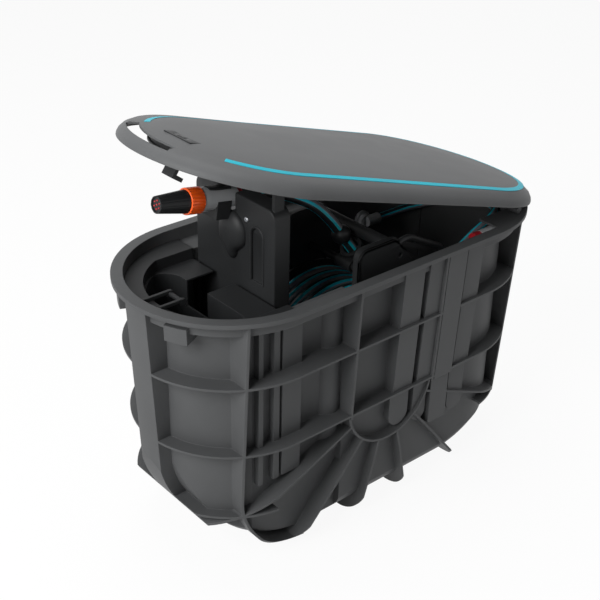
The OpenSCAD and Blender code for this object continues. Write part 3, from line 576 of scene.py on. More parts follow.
@dataclass
class HoseRuns(Assembly):
    """The hose on the reel, its leader up to the nozzle with its stopper, and the supply hose to the inlet."""

    hose_mm: float = 15.0
    supply_mm: float = 10.5
    wind_r_mm: float = 104.8
    under_r_mm: float = 89.2
    pitch_mm: float = 15.5
    turns: int = 7
    start_y_mm: float = 42.2
    axle_z_mm: float = 193.0
    leave_deg: float = 35.0
    steps_per_turn: int = 64
    sides: int = 20
    cuts: int = 10
    # where the leader's first points lie on the straight run off the reel, then its route to the guide and the nozzle
    run_mm: tuple[float, float] = (15.6, 30.0)
    lower_mm: tuple[Spot, ...] = ((50, -62, 309), (25, -36, 337), (10, -29, 360))
    middle_mm: tuple[Spot, ...] = ((10, -29, 360), (2, -26, 372), (-7, -24, 385))
    upper_mm: tuple[Spot, ...] = (
        (-7, -24, 385), (-24, -18, 410), (-45, -8, 432), (-68, 14, 443), (-90.5, 30, 447.5), (-109.3, 30, 450.7))
    supply_route_mm: tuple[Spot, ...] = (
        (36.3, -99, 193), (60, -99, 194), (86, -99, 212), (102, -99, 255), (112, -98, 300), (130, -97, 337),
        (170, -91, 354), (212, -86, 366), (245, -68, 366), (264, -30, 358), (268, 10, 346), (258, 52, 332),
        (228, 84, 318), (202, 96, 311), (182.3, 98, 310))
    stopper_mm: Spot = (-6.4, -24.2, 384.2)
    stopper_r_mm: float = 13.0

    def pay_off(self, run: float) -> Spot:
        """Point in mm on the straight run off the reel.

        Args:
            run: Distance along the run, in mm.

        Returns:
            The point.
        """
        a = math.radians(self.leave_deg)
        return (self.wind_r_mm * math.cos(a) - run * math.sin(a),
                self.start_y_mm - self.turns * self.pitch_mm,
                self.axle_z_mm + self.wind_r_mm * math.sin(a) + run * math.cos(a))

    def smooth(self, points: Sequence[Spot]) -> list[Vector]:
        """Runs a smooth curve through a route.

        Args:
            points: Route in mm.

        Returns:
            Points in metres.
        """
        p = [Vector(q) * MM for q in points]
        out = []
        for i in range(len(p) - 1):
            a, b, c, d = p[max(i - 1, 0)], p[i], p[i + 1], p[min(i + 2, len(p) - 1)]
            for k in range(self.cuts):
                t = k / self.cuts
                out.append((2 * b + (c - a) * t + (2 * a - 5 * b + 4 * c - d) * t * t
                            + (3 * b - a - 3 * c + d) * t ** 3) / 2)
        out.append(p[-1])
        return out

    def coil(self, radius: float) -> list[Vector]:
        """Turns of hose on the reel.

        Args:
            radius: Radius of the turns' middle line, in mm.

        Returns:
            Points in metres.
        """
        count = self.turns * self.steps_per_turn
        out = []
        for i in range(count + 1):
            a = math.radians(self.leave_deg) + 2 * math.pi * (i - count) / self.steps_per_turn
            y = self.start_y_mm - self.pitch_mm * i / self.steps_per_turn
            out.append(Vector((radius * math.cos(a), y, self.axle_z_mm + radius * math.sin(a))) * MM)
        return out

    def tube(self, name: str, path: list[Vector], width: float) -> Piece:
        """Sweeps a round hose along a path, with a map that runs round and along it.

        Args:
            name: Name of the piece.
            path: Middle line in metres.
            width: Diameter in mm.

        Returns:
            The hose.
        """
        mesh = bpy.data.meshes.new(name)
        work = bmesh.new()
        chart = work.loops.layers.uv.new("run")
        last = len(path) - 1
        heading = [(path[min(i + 1, last)] - path[max(i - 1, 0)]).normalized() for i in range(last + 1)]
        side = heading[0].orthogonal().normalized()
        rings, along, length = [], [], 0.0
        for i, (spot, ahead) in enumerate(zip(path, heading)):
            if i:
                length += (spot - path[i - 1]).length
                side = heading[i - 1].rotation_difference(ahead) @ side
            side = (side - ahead * side.dot(ahead)).normalized()
            other = ahead.cross(side)
            ring = []
            for k in range(self.sides):
                a = 2 * math.pi * k / self.sides
                ring.append(work.verts.new(spot + (side * math.cos(a) + other * math.sin(a)) * width / 2 * MM))
            rings.append(ring)
            along.append(length)
        for i in range(len(rings) - 1):
            for k in range(self.sides):
                n = (k + 1) % self.sides
                face = work.faces.new((rings[i][k], rings[i][n], rings[i + 1][n], rings[i + 1][k]))
                face.smooth = True
                corners = ((k, i), (k + 1, i), (k + 1, i + 1), (k, i + 1))
                for loop, (u, v) in zip(face.loops, corners):
                    loop[chart].uv = (u / self.sides, along[v])
        work.faces.new(list(reversed(rings[0])))
        work.faces.new(rings[-1])
        work.to_mesh(mesh)
        work.free()
        mesh.materials.append(self.finishes.made[Slot.HOSE])
        hose = bpy.data.objects.new(name, mesh)
        bpy.context.scene.collection.objects.link(hose)
        return hose

    def build(self) -> list[Piece]:
        """Makes every hose, and the ball that stops the leader at the guide.

        Returns:
            The pieces.
        """
        a = math.radians(self.leave_deg)
        along = Vector((-math.sin(a), 0.0, math.cos(a))) * self.hose_mm * MM
        turns = self.coil(self.wind_r_mm)
        outer = self.tube("hose_turns", [turns[0] - along, *turns, turns[-1] + along], self.hose_mm)
        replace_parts(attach(outer, "reel"), "hose_winding")
        under = self.tube("hose_turns_below", self.coil(self.under_r_mm), self.hose_mm)
        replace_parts(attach(under, "reel"), "hose_core")
        made = [outer, under]
        lower = (*(self.pay_off(run) for run in self.run_mm), *self.lower_mm)
        for name, route, begin, bodies, node in (
                ("leader_to_guide", lower, 1, ("tub_body", "guide"), "leader_lower"),
                ("leader_over_bar", self.middle_mm, 0, ("guide", "tub_body"), "leader_middle"),
                ("leader_to_nozzle", self.upper_mm, 0, ("tub_body", "lift"), "leader_upper")):
            leader = self.tube(name, self.smooth(route), self.hose_mm)
            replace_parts(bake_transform(leader), node)
            made.append(leader)
        feed = self.tube("supply_line", self.smooth(self.supply_route_mm), self.supply_mm)
        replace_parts(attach(feed, "tub_body"), "supply_hose")
        ball = self.ball(self.stopper_r_mm, self.stopper_mm, 40, 24)
        return [*made, feed, self.deliver(ball, "hose_stopper", Slot.BLACK, "tub_body")]


@dataclass
class DomedLid(Assembly):
    """The lid's skin: a long low dome with a soft shoulder, an inlay along the shoulder and a grip slot."""

    half_mm: float = 170.0
    rim_z_mm: float = 380.0
    hinge_mm: tuple[float, float] = (289.0, 388.0)
    open_deg: float = 17.0
    # rings of the dome from the edge inwards: radius and height over the rim
    rings_mm: tuple[tuple[float, float], ...] = (
        (148.0, 0.8), (148.0, 3.0), (146.8, 6.8), (143.0, 11.8), (135.5, 16.4), (126.0, 18.6), (118.5, 20.2),
        (112.0, 21.2), (98.0, 22.4), (78.0, 24.0), (50.0, 25.6))
    # the rings within this reach run outwards towards the hinge
    shoulder_mm: tuple[float, float] = (110.5, 127.0)
    # faces no higher over the edge than this close the lid underneath, and are taken out
    under_mm: float = 0.3
    inlay_mm: tuple[float, float] = (118.5, 126.0)
    inlay_from_mm: float = -259.0
    inlay_taper: float = 0.055
    inlay_wall_mm: float = 1.0
    inlay_proud_mm: float = 0.5
    wall_mm: float = 2.6
    slot_r_mm: float = 131.0
    slot_half_mm: float = 7.5
    slot_deg: tuple[float, float] = (-14.0, 37.0)
    slot_deep_mm: float = 60.0
    slot_over_mm: float = 10.0
    slot_steps: int = 24
    sides: int = 160
    # hinge knuckles: from and to along the pin on either side, radius, and height of the web over the pin
    knuckle_y_mm: tuple[float, float] = (24.3, 44.0)
    knuckle_r_mm: float = 4.2
    knuckle_web_mm: float = 9.0

    def reach(self, spot: Vector) -> float:
        """Distance in mm of a place from the lid's middle line."""
        away = max(abs(spot.x / MM) - self.half_mm, 0.0)
        return math.hypot(away, spot.y / MM)

    def tapered(self, spot: Vector) -> float:
        """Share by which the shoulder stands out at a place: less at the free end, more at the hinge."""
        return 1.0 + self.inlay_taper * max(-1.0, min(1.0, spot.x / MM / self.half_mm))

    def skin(self) -> Piece:
        """Draws the outline and raises the dome from it, ring by ring.

        Returns:
            The skin, open underneath.
        """
        edge, base = self.rings_mm[0]
        bpy.ops.object.select_all(action="DESELECT")
        bpy.ops.mesh.primitive_circle_add(vertices=self.sides, radius=edge * MM, fill_type="NGON",
                                          location=(0, 0, (self.rim_z_mm + base) * MM))
        lid = bpy.context.object
        bpy.ops.object.transform_apply()
        for side in (-1, 1):
            self.pick(lid, lambda mid, normal: mid.x * side > 1e-6, "VERT")
            bpy.ops.transform.translate(value=(side * self.half_mm * MM, 0, 0))
            self.close()
        self.pick(lid, lambda mid, normal: True)
        for (r0, h0), (r1, h1) in zip(self.rings_mm, self.rings_mm[1:]):
            if r0 == r1:
                bpy.ops.mesh.extrude_region_move(TRANSFORM_OT_translate={"value": (0, 0, (h1 - h0) * MM)})
            else:
                bpy.ops.mesh.inset(thickness=(r0 - r1) * MM, depth=(h1 - h0) * MM)
        under = (self.rim_z_mm + base + self.under_mm) * MM
        self.pick(lid, lambda mid, normal: mid.z < under)
        bpy.ops.mesh.delete(type="FACE")
        bpy.ops.mesh.select_all(action="SELECT")
        bpy.ops.mesh.normals_make_consistent(inside=False)
        self.close()
        return lid

    def inlay(self, lid: Piece) -> Piece:
        """Lifts the inlay off the shoulder of the skin.

        Args:
            lid: The lid's skin.

        Returns:
            The inlay, still open.
        """
        low, high = self.inlay_mm
        self.pick(lid, lambda mid, normal: low < self.reach(mid) / self.tapered(mid) < high
                  and mid.x > self.inlay_from_mm * MM)
        bpy.ops.mesh.duplicate()
        bpy.ops.mesh.separate(type="SELECTED")
        self.close()
        stripe = next(o for o in bpy.context.selected_objects if o is not lid)
        self.pick(stripe, lambda mid, normal: True)
        bpy.ops.transform.shrink_fatten(value=self.inlay_proud_mm * MM)
        self.close()
        return stripe

    def build(self) -> list[Piece]:
        """Makes the lid and its inlay.

        Returns:
            The pieces.
        """
        hinge = Matrix.Translation((self.hinge_mm[0] * MM, 0, self.hinge_mm[1] * MM))
        opened = hinge @ Matrix.Rotation(math.radians(self.open_deg), 4, "Y") @ hinge.inverted()
        lid = self.skin()
        low, high = self.shoulder_mm
        for vert in lid.data.vertices:
            if low < self.reach(vert.co) < high:
                share, middle = self.tapered(vert.co), math.copysign(self.half_mm * MM, vert.co.x)
                vert.co.y *= share
                if abs(vert.co.x) > abs(middle):
                    vert.co.x = middle + (vert.co.x - middle) * share
        stripe = self.inlay(lid)
        self.thicken(lid, self.wall_mm)
        self.thicken(stripe, self.inlay_wall_mm)
        first, last = self.slot_deg
        step = (last - first) / self.slot_steps
        arc = [math.radians(180 - first - step * i) for i in range(self.slot_steps + 1)]
        z = self.rim_z_mm + self.slot_over_mm
        line = [(-self.half_mm + self.slot_r_mm * math.cos(a), self.slot_r_mm * math.sin(a), z) for a in arc]
        self.cut(lid, self.strip(line, self.slot_half_mm, self.slot_deep_mm))
        x, z = self.hinge_mm
        knuckles = [lid]
        for side in (-1, 1):
            y0, y1 = sorted(side * y for y in self.knuckle_y_mm)
            knuckles.append(self.rod(self.knuckle_r_mm, y1 - y0, (x, (y0 + y1) / 2, z), 32, (math.pi / 2, 0, 0)))
            bpy.ops.object.transform_apply()
            knuckles.append(self.block((x - self.knuckle_r_mm, y0, z),
                                       (x + self.knuckle_r_mm, y1, z + self.knuckle_web_mm)))
        whole = self.deliver(self.join(knuckles), "lid_skin", Slot.LID, "lid", opened)
        inlaid = self.deliver(stripe, "lid_inlay", Slot.TEAL, "lid", opened)
        return [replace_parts(whole, "lid_cover"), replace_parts(inlaid, "lid_stripe")]


@dataclass
class LiftPanel(Assembly):
    """The lift panel: a narrow upright tray with a notch for the nozzle and ears for its bar."""

    low_mm: Spot = (-150.0, -62.0, 233.6)
    high_mm: Spot = (-126.0, 95.0, 468.6)
    corner_mm: float = 14.0
    wall_mm: float = 3.0
    hollow_mm: float = 21.0
    soft_mm: float = 2.0
    # the nozzle's notch and the straight part of the slot, each between two corners
    notch_mm: tuple[Spot, ...] = ((-160, 13, 436.8), (-116, 47, 500))
    slot_mm: tuple[Spot, ...] = ((-152, -39.5, 363), (-147.5, -18.5, 425))
    arch_mm: Spot = (-150, -29, 425)
    arch_r_mm: float = 10.5
    arch_deep_mm: float = 5.0
    # ears for the bar: where they stand, half their thickness, edges, and low and high corners in X and Z
    ear_y_mm: tuple[float, float] = (-54, 54)
    ear_half_mm: float = 2.5
    ear_soft_mm: float = 1.0
    ear_mm: tuple[tuple[float, float], ...] = ((-146, 462), (-130, 493.6))

    def build(self) -> list[Piece]:
        """Makes the panel.

        Returns:
            The piece.
        """
        panel = self.block(self.low_mm, self.high_mm)
        self.pick(panel, lambda mid, run: abs(run.x) > 1e-4, "EDGE")
        bpy.ops.mesh.bevel(offset=self.corner_mm * MM, segments=8)
        self.close()
        self.pick(panel, lambda mid, normal: normal.x > 0.9)
        bpy.ops.mesh.inset(thickness=self.wall_mm * MM, depth=0.0)
        bpy.ops.mesh.inset(thickness=DRAFT_MM * MM, depth=-self.hollow_mm * MM)
        self.pick(panel, lambda mid, normal: normal.x < -0.9)
        bpy.ops.mesh.bevel(offset=self.soft_mm * MM, segments=3)
        self.close()
        self.cut(panel, self.block(*self.notch_mm))
        self.cut(panel, self.block(*self.slot_mm))
        self.cut(panel, self.rod(self.arch_r_mm, self.arch_deep_mm, self.arch_mm, 48, (0, math.pi / 2, 0)))
        (x0, z0), (x1, z1), half = *self.ear_mm, self.ear_half_mm
        ears = [self.block((x0, y - half, z0), (x1, y + half, z1), self.ear_soft_mm) for y in self.ear_y_mm]
        made = self.deliver(self.join([panel, *ears]), "lift_tray", Slot.DARK, "lift")
        return [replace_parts(made, "lift_panel")]


@dataclass
class FrameHeads(Assembly):
    """The rounded heads of the reel frame: lipped plates that carry the top bar, and the near one's arm."""

    # corners of a head over its foot in side view, X and Z in mm, and the radius round them
    corners_mm: tuple[tuple[float, float], ...] = ((50, 345), (16, 382.5), (-28, 382.5))
    foot_x_mm: tuple[float, float] = (-28, 50)
    near_foot_mm: float = 300.0
    far_foot_mm: float = 332.0
    round_mm: float = 14.0
    round_steps: int = 8
    lip_mm: float = 12.0
    wall_mm: float = 4.0
    near_y_mm: float = -96.6
    far_y_mm: float = 41.0
    arm_mm: tuple[tuple[float, float], ...] = ((16, 384), (46, 392), (114, 356), (100, 322))
    arm_half_mm: float = 4.2
    arm_in_mm: float = 4.0
    bend_mm: float = 10.0
    soft_mm: float = 0.8
    # a small hole near the top bar: X, Z and radius
    hole_mm: Spot = (30, 371, 3.2)
    hole_sides: int = 24

    def around(self, radius: float, foot: float) -> list[tuple[float, float]]:
        """Outline that rounds the corners with a radius.

        Args:
            radius: Radius in mm.
            foot: Height of the two lower corners in mm.

        Returns:
            Points in mm.
        """
        out = []
        corners = [(x, foot) for x in self.foot_x_mm] + list(self.corners_mm)
        for i, (x, z) in enumerate(corners):
            (ax, az), (bx, bz) = corners[i - 1], corners[(i + 1) % len(corners)]
            start = math.atan2(z - az, x - ax) - math.pi / 2
            turn = (math.atan2(bz - z, bx - x) - math.atan2(z - az, x - ax)) % (2 * math.pi)
            angles = [start + turn * k / self.round_steps for k in range(self.round_steps + 1)]
            out += [(x + radius * math.cos(a), z + radius * math.sin(a)) for a in angles]
        return out

    def hole(self) -> list[tuple[float, float]]:
        """Draws the outline of the round hole.

        Returns:
            Points in mm.
        """
        x, z, radius = self.hole_mm
        turns = [2 * math.pi * k / self.hole_sides for k in range(self.hole_sides)]
        return [(x + radius * math.cos(a), z + radius * math.sin(a)) for a in turns]

    def head(self, y: float, foot: float) -> Piece:
        """Makes one head with its lip.

        Args:
            y: Where its outer face lies, in mm.
            foot: Height of its two lower corners in mm.

        Returns:
            The head.
        """
        upright = Matrix.Rotation(math.pi / 2, 4, "X")
        outline = self.around(self.round_mm, foot)
        web = self.plate(outline, self.wall_mm, self.soft_mm, (self.hole(),))
        web.matrix_world = Matrix.Translation((0, (y + self.wall_mm / 2) * MM, 0)) @ upright
        lip = self.plate(outline, self.lip_mm, self.soft_mm, (self.around(self.round_mm - self.wall_mm, foot),))
        lip.matrix_world = Matrix.Translation((0, (y + self.lip_mm / 2) * MM, 0)) @ upright
        return self.join([web, lip])

    def arm(self) -> Piece:
        """Bends the arm that runs from the near head towards the hinge."""
        y = self.near_y_mm + self.arm_in_mm
        return self.drawn([[(x, y, z) for x, z in self.soft_line()]], "3D", False,
                          bevel_depth=self.arm_half_mm * MM, bevel_resolution=4, use_fill_caps=True)

    def soft_line(self) -> list[tuple[float, float]]:
        """Rounds the bends of the arm's line.

        Returns:
            Points in mm, X and Z.
        """
        line = [Vector(p) for p in self.arm_mm]
        out = [tuple(line[0])]
        for before, here, after in zip(line, line[1:], line[2:]):
            enter = here + (before - here).normalized() * self.bend_mm
            leave = here + (after - here).normalized() * self.bend_mm
            out += [tuple(enter * (1 - t) ** 2 + here * 2 * t * (1 - t) + leave * t * t)
                    for t in (0, 0.25, 0.5, 0.75, 1)]
        out.append(tuple(line[-1]))
        return out

    def build(self) -> list[Piece]:
        """Makes both heads and the arm.

        Returns:
            The pieces.
        """
        near = self.join([self.head(self.near_y_mm, self.near_foot_mm), self.arm()])
        made = [self.deliver(near, "near_head", Slot.DARK, "tub_body")]
        far = self.head(self.far_y_mm, self.far_foot_mm)
        return [*made, self.deliver(far, "far_head", Slot.DARK, "tub_body")]


@dataclass
class TubFins(Assembly):
    """Upright fins at the hinge end of the tub that tie its bands together."""

    x_mm: float = 250.0
    wall_mm: float = 3.2
    from_end_mm: float = 80.0
    root_mm: float = 74.0
    # envelope of the ribs: half width at the top and at the ground, and its height
    envelope_mm: Spot = (140.0, 122.0, 374.5)
    foot_mm: float = 74.0
    foot_drop_mm: float = 14.0
    soft_mm: float = 0.5
    steps: int = 12

    def build(self) -> list[Piece]:
        """Makes a fin on either side.

        Returns:
            The piece.
        """
        top, ground, high = self.envelope_mm
        outer = []
        for k in range(self.steps + 1):
            z = high + (self.foot_mm - high) * k / self.steps
            reach = math.sqrt((ground + (top - ground) * z / high) ** 2 - self.from_end_mm ** 2)
            outer.append((reach, z))
        outline = [(self.root_mm, high), *outer, (self.root_mm, self.foot_mm - self.foot_drop_mm)]
        fins = []
        for side in (-1, 1):
            fin = self.plate(outline, self.wall_mm, self.soft_mm)
            standing = Matrix(((0, 0, 1), (side, 0, 0), (0, 1, 0))).to_4x4()
            fin.matrix_world = Matrix.Translation((self.x_mm * MM, 0, 0)) @ standing
            bpy.ops.object.transform_apply()
            self.pick(fin, lambda mid, normal: True)
            bpy.ops.mesh.normals_make_consistent(inside=False)
            self.close()
            fins.append(fin)
        return [self.deliver(self.join(fins), "tub_fins", Slot.TUB, "tub_body")]


@dataclass
class NozzleTrim(Assembly):
    """The nozzle up close: a grey body with a black grip, a knurled orange ring and red jets in the spray face."""

    at_mm: Spot = (-128.0, 30.0, 453.816)
    tilt_deg: float = 9.6
    ring_mm: tuple[float, float] = (66.0, 86.0)
    ring_r_mm: float = 16.5
    ring_soft_mm: float = 0.9
    ring_sides: int = 72
    knurl_every: int = 3
    # the ring's grooves: margin and depth
    groove_mm: tuple[float, float] = (0.25, 0.6)
    face_mm: float = 125.4
    # jets on each circle of the face: how many, and the circle's radius
    jets_on: tuple[tuple[int, float], ...] = ((1, 0.0), (6, 5.4))
    jet_r_mm: float = 1.3
    # the body from its rear end: radius, thickness and place, then growth and length of each stretch
    rear_mm: Spot = (12.4, 0.5, 12.2)
    swell: tuple[tuple[float, float], ...] = ((1.11, 9.0), (1.0, 24.0), (1.05, 8.0), (1.06, 6.0), (1.0, 6.0))
    grip_mm: tuple[Spot, ...] = ((10.0, -6.5, 22.0), (15.4, 6.5, 56.0))
    grip_round_mm: float = 1.6

    def pose(self) -> Matrix:
        """Finds the frame of the nozzle.

        Returns:
            Its place, with Z along its axis to the tip and X upwards.
        """
        t = math.radians(self.tilt_deg)
        turned = Matrix(((math.sin(t), 0, -math.cos(t)), (0, 1, 0), (math.cos(t), 0, math.sin(t)))).to_4x4()
        return Matrix.Translation(Vector(self.at_mm) * MM) @ turned

    def barrel(self) -> Piece:
        """Turns the grey body, which swells towards the ring.

        Returns:
            The body.
        """
        radius, thick, rear = self.rear_mm
        body = self.rod(radius, thick, (0, 0, rear), 64)
        bpy.ops.object.transform_apply()
        self.pick(body, lambda mid, normal: normal.z > 0.9)
        for grow, run in self.swell:
            bpy.ops.mesh.extrude_region_move(TRANSFORM_OT_translate={"value": (0, 0, run * MM)})
            bpy.ops.transform.resize(value=(grow, grow, 1.0), center_override=(0, 0, 0))
        self.close()
        made = self.deliver(body, "nozzle_barrel", Slot.GREY, "nozzle", self.pose())
        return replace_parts(made, "nozzle_body")

    def pad(self) -> Piece:
        """Lays the soft black grip on top of the body.

        Returns:
            The grip.
        """
        pad = self.block(*self.grip_mm, self.grip_round_mm)
        made = self.deliver(pad, "nozzle_grip", Slot.BLACK, "nozzle", self.pose())
        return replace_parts(made, "nozzle_insert")

    def ring(self) -> Piece:
        """Turns a ring, softens its ends and sinks grooves round it.

        Returns:
            The ring.
        """
        low, high = self.ring_mm
        ring = self.rod(self.ring_r_mm, high - low, (0, 0, (low + high) / 2), self.ring_sides)
        flat = 360 / self.ring_sides
        self.pick(ring, lambda mid, normal: abs(normal.z) > 0.9)
        bpy.ops.mesh.bevel(offset=self.ring_soft_mm * MM, segments=3)
        self.pick(ring, lambda mid, normal: abs(normal.z) < 0.1
                  and round(math.degrees(math.atan2(mid.y, mid.x)) / flat - 0.5) % self.knurl_every == 0)
        margin, deep = self.groove_mm
        bpy.ops.mesh.inset(thickness=margin * MM, depth=-deep * MM, use_individual=True)
        self.close()
        made = self.deliver(ring, "nozzle_knurled_ring", Slot.ORANGE, "nozzle_head", self.pose())
        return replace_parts(made, "nozzle_ring")

    def jets(self) -> Piece:
        """Sets red jets in the spray face.

        Returns:
            The jets, as one piece.
        """
        made = []
        for count, radius in self.jets_on:
            for i in range(count):
                a = 2 * math.pi * i / count
                spot = (radius * math.cos(a), radius * math.sin(a), self.face_mm)
                made.append(self.ball(self.jet_r_mm, spot, 12, 8))
        return self.deliver(self.join(made), "nozzle_jets", Slot.RED, "nozzle_head", self.pose())

    def build(self) -> list[Piece]:
        """Makes the nozzle's trim."""
        return [self.barrel(), self.pad(), self.ring(), self.jets()]


@dataclass
class PanelTrim(Assembly):
    """Moulded detail on the face of the lift panel: the raised edge of its slot, the nozzle's pocket and a screw."""

    face_x_mm: float = -150.0
    slot_y_mm: float = -29.0
    slot_half_mm: float = 12.2
    slot_z_mm: tuple[float, float] = (362.6, 437.6)
    bead_mm: float = 1.6
    arch_steps: int = 16
    pocket_mm: Spot = (-150.0, 18.0, 418.0)
    pocket_size_mm: Spot = (12.0, 25.0, 26.0)
    # the pocket's foot, in shares of its size: where it starts, how far it drops and narrows, and the reach of both
    foot_from: float = -0.55
    foot_drop: float = 0.5
    foot_pinch: float = 0.45
    foot_reach: tuple[float, float] = (0.9, 0.7)
    screw_mm: Spot = (-150.4, -9.0, 441.0)
    # the screw's head: radius and height, then its softened edge, and the driver's hollow: margin and depth
    screw_head_mm: tuple[float, float] = (3.6, 2.4)
    screw_soft_mm: float = 0.8
    drive_mm: tuple[float, float] = (1.4, 1.2)

    def slot_edge(self) -> Piece:
        """Runs a raised bead round the arched slot.

        Returns:
            The bead.
        """
        low, high = self.slot_z_mm
        half, top = self.slot_half_mm, high - self.slot_half_mm
        turns = [math.pi * i / self.arch_steps for i in range(self.arch_steps + 1)]
        arch = [(self.slot_y_mm + half * math.cos(a), top + half * math.sin(a)) for a in turns]
        line = [(self.slot_y_mm + half, low), *arch, (self.slot_y_mm - half, low)]
        bead = self.drawn([[(self.face_x_mm, y, z) for y, z in line]], "3D", False,
                          bevel_depth=self.bead_mm * MM, bevel_resolution=3)
        return self.deliver(bead, "panel_slot_edge", Slot.DARK, "lift")

    def pocket(self) -> Piece:
        """Swells a rounded pocket out of the panel, drawn to a point at its foot.

        Returns:
            The pocket.
        """
        bulge = self.ball(1.0, (0, 0, 0), 48, 32)
        self.pick(bulge, lambda mid, normal: mid.x > 0.0)
        bpy.ops.mesh.delete(type="FACE")
        self.pick(bulge, lambda mid, normal: mid.z < self.foot_from * MM)
        soft = {"use_proportional_edit": True, "proportional_edit_falloff": "SMOOTH"}
        drop, pinch = (reach * MM for reach in self.foot_reach)
        bpy.ops.transform.translate(value=(0, 0, -self.foot_drop * MM), proportional_size=drop, **soft)
        bpy.ops.transform.resize(value=(1.0, self.foot_pinch, 1.0), proportional_size=pinch, **soft)
        self.close()
        place = Matrix.Translation(Vector(self.pocket_mm) * MM) @ Matrix.Diagonal((*self.pocket_size_mm, 1.0))
        return self.deliver(bulge, "panel_pocket", Slot.DARK, "lift", place)

    def screw(self) -> Piece:
        """Turns a pan-head screw with a hollow for the driver.

        Returns:
            The screw.
        """
        screw = self.rod(*self.screw_head_mm, self.screw_mm, 32, (0, -math.pi / 2, 0))
        self.pick(screw, lambda mid, normal: normal.z > 0.9)
        bpy.ops.mesh.bevel(offset=self.screw_soft_mm * MM, segments=3)
        self.pick(screw, lambda mid, normal: normal.z > 0.99)
        margin, deep = self.drive_mm
        bpy.ops.mesh.inset(thickness=margin * MM, depth=0.0)
        bpy.ops.mesh.inset(thickness=DRAFT_MM * MM, depth=-deep * MM)
        self.close()
        return self.deliver(screw, "panel_screw", Slot.STEEL, "lift")

    def build(self) -> list[Piece]:
        """Makes the panel's trim."""
        return [self.slot_edge(), self.pocket(), self.screw()]


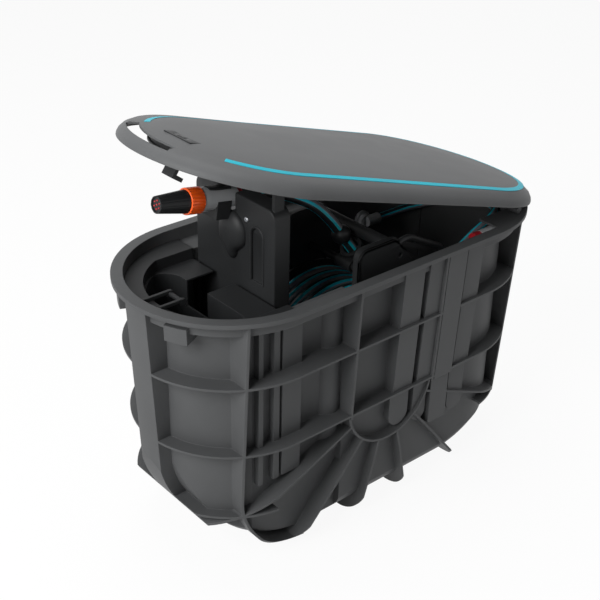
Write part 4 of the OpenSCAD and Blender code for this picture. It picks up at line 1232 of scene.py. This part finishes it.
@dataclass
class Studio:
    """Camera, floor and lamps of the product picture."""

    azimuth_deg: float = 41.08
    elevation_deg: float = 29.03
    roll_deg: float = 1.26
    distance: float = 1.504
    target: Spot = (-0.0539, 0.0, 0.2927)
    lens_mm: float = 68.16
    # the floor's share of plain white, the rest being lit paper that takes the shadow; and the light of the room
    paper_share: float = 0.93
    room_light: float = 0.10
    floor_r: float = 6.0
    floor_z: float = -0.0005
    # softboxes: name, place, aim, side in metres and watts
    lamps: tuple[tuple[str, Spot, Spot, float, float], ...] = (
        ("key_softbox", (-2.2, -0.3, 1.7), (0, 0, 0.25), 1.4, 66.0),
        ("fill_softbox", (1.2, -2.2, 1.4), (0, 0, 0.25), 1.8, 4.0),
        ("top_softbox", (0.1, 0.5, 2.6), (0, 0, 0.3), 1.6, 34.0))

    def camera(self) -> None:
        """Places the camera where the photograph was taken from."""
        az, el, roll = (math.radians(v) for v in (self.azimuth_deg, self.elevation_deg, self.roll_deg))
        back = Vector((-math.sin(az) * math.cos(el), -math.cos(az) * math.cos(el), math.sin(el)))
        right = (-back).cross(Vector((0, 0, 1))).normalized()
        up = right.cross(-back)
        across = right * math.cos(roll) + up * math.sin(roll)
        upright = up * math.cos(roll) - right * math.sin(roll)
        turned = Matrix((across, upright, back)).transposed().to_4x4()
        data = bpy.data.cameras.new("product_camera")
        data.lens = self.lens_mm
        data.sensor_width = 36.0
        camera = bpy.data.objects.new("product_camera", data)
        camera.matrix_world = Matrix.Translation(Vector(self.target) + back * self.distance) @ turned
        bpy.context.scene.collection.objects.link(camera)
        bpy.context.scene.camera = camera

    def seen(self, tree: Tree) -> Socket:
        """Tells the rays that show the white paper from those that light the box.

        Args:
            tree: Node tree of the floor or the world.

        Returns:
            One for a ray from the camera, off a shiny face or through glass, and zero for others.
        """
        rays = add_node(tree, "ShaderNodeLightPath").outputs
        either = maths(tree, "MAXIMUM", rays["Is Camera Ray"], rays["Is Glossy Ray"])
        return maths(tree, "MAXIMUM", either, rays["Is Transmission Ray"])

    def floor(self) -> None:
        """Lays a white floor that the camera sees as bright as the paper behind, with the box's shadow."""
        bpy.ops.object.select_all(action="DESELECT")
        bpy.ops.mesh.primitive_circle_add(vertices=64, radius=self.floor_r, fill_type="NGON",
                                          location=(0, 0, self.floor_z))
        floor = bpy.context.object
        floor.name = "floor"
        material, tree = blank_material("white_paper_sweep")
        share = maths(tree, "MULTIPLY", self.seen(tree), self.paper_share)
        paper = add_node(tree, "ShaderNodeBsdfDiffuse", inputs={"Color": (0.9, 0.9, 0.9, 1.0)})
        white = add_node(tree, "ShaderNodeEmission", inputs={"Color": WHITE, "Strength": 1.0})
        both = add_node(tree, "ShaderNodeMixShader", inputs={0: share, 1: paper.outputs[0], 2: white.outputs[0]})
        add_node(tree, "ShaderNodeOutputMaterial", inputs={"Surface": both.outputs[0]})
        floor.data.materials.append(material)

    def world(self) -> None:
        """Fills the room with even light and shows white paper behind the box."""
        world = bpy.data.worlds.new("white_room")
        world.use_nodes = True
        tree = world.node_tree
        tree.nodes.clear()
        room, white = (add_node(tree, "ShaderNodeBackground", inputs={"Color": WHITE, "Strength": strength}).outputs[0]
                       for strength in (self.room_light, 1.0))
        both = add_node(tree, "ShaderNodeMixShader", inputs={0: self.seen(tree), 1: room, 2: white})
        add_node(tree, "ShaderNodeOutputWorld", inputs={"Surface": both.outputs[0]})
        bpy.context.scene.world = world

    def lamp(self, name: str, place: Spot, aim: Spot, size: float, power: float) -> None:
        """Hangs one softbox.

        Args:
            name: Name of the lamp.
            place: Where it hangs, in metres.
            aim: What it points at.
            size: Side of the box, in metres.
            power: Watts.
        """
        data = bpy.data.lights.new(name, "AREA")
        data.shape = "SQUARE"
        data.size = size
        data.energy = power
        lamp = bpy.data.objects.new(name, data)
        lamp.location = place
        lamp.rotation_euler = (Vector(aim) - Vector(place)).to_track_quat("-Z", "Y").to_euler()
        bpy.context.scene.collection.objects.link(lamp)

    def build(self) -> None:
        """Sets up the whole studio."""
        self.camera()
        self.floor()
        self.world()
        for lamp in self.lamps:
            self.lamp(*lamp)
        bpy.context.scene.view_settings.view_transform = "Standard"


def main() -> None:
    """Builds the box's looks and reports each piece."""
    logging.basicConfig(level=logging.INFO, format="%(message)s")
    bpy.ops.object.select_all(action="DESELECT")
    Studio().build()
    finishes = Finishes()
    finishes.dress(NODES)
    for group in (HoseRuns, DomedLid, LiftPanel, FrameHeads, TubFins, NozzleTrim, PanelTrim):
        for piece in group(finishes).build():
            log.info("piece %s: %d faces", piece.name, len(piece.data.polygons))


if __name__ == "__main__":
    main()
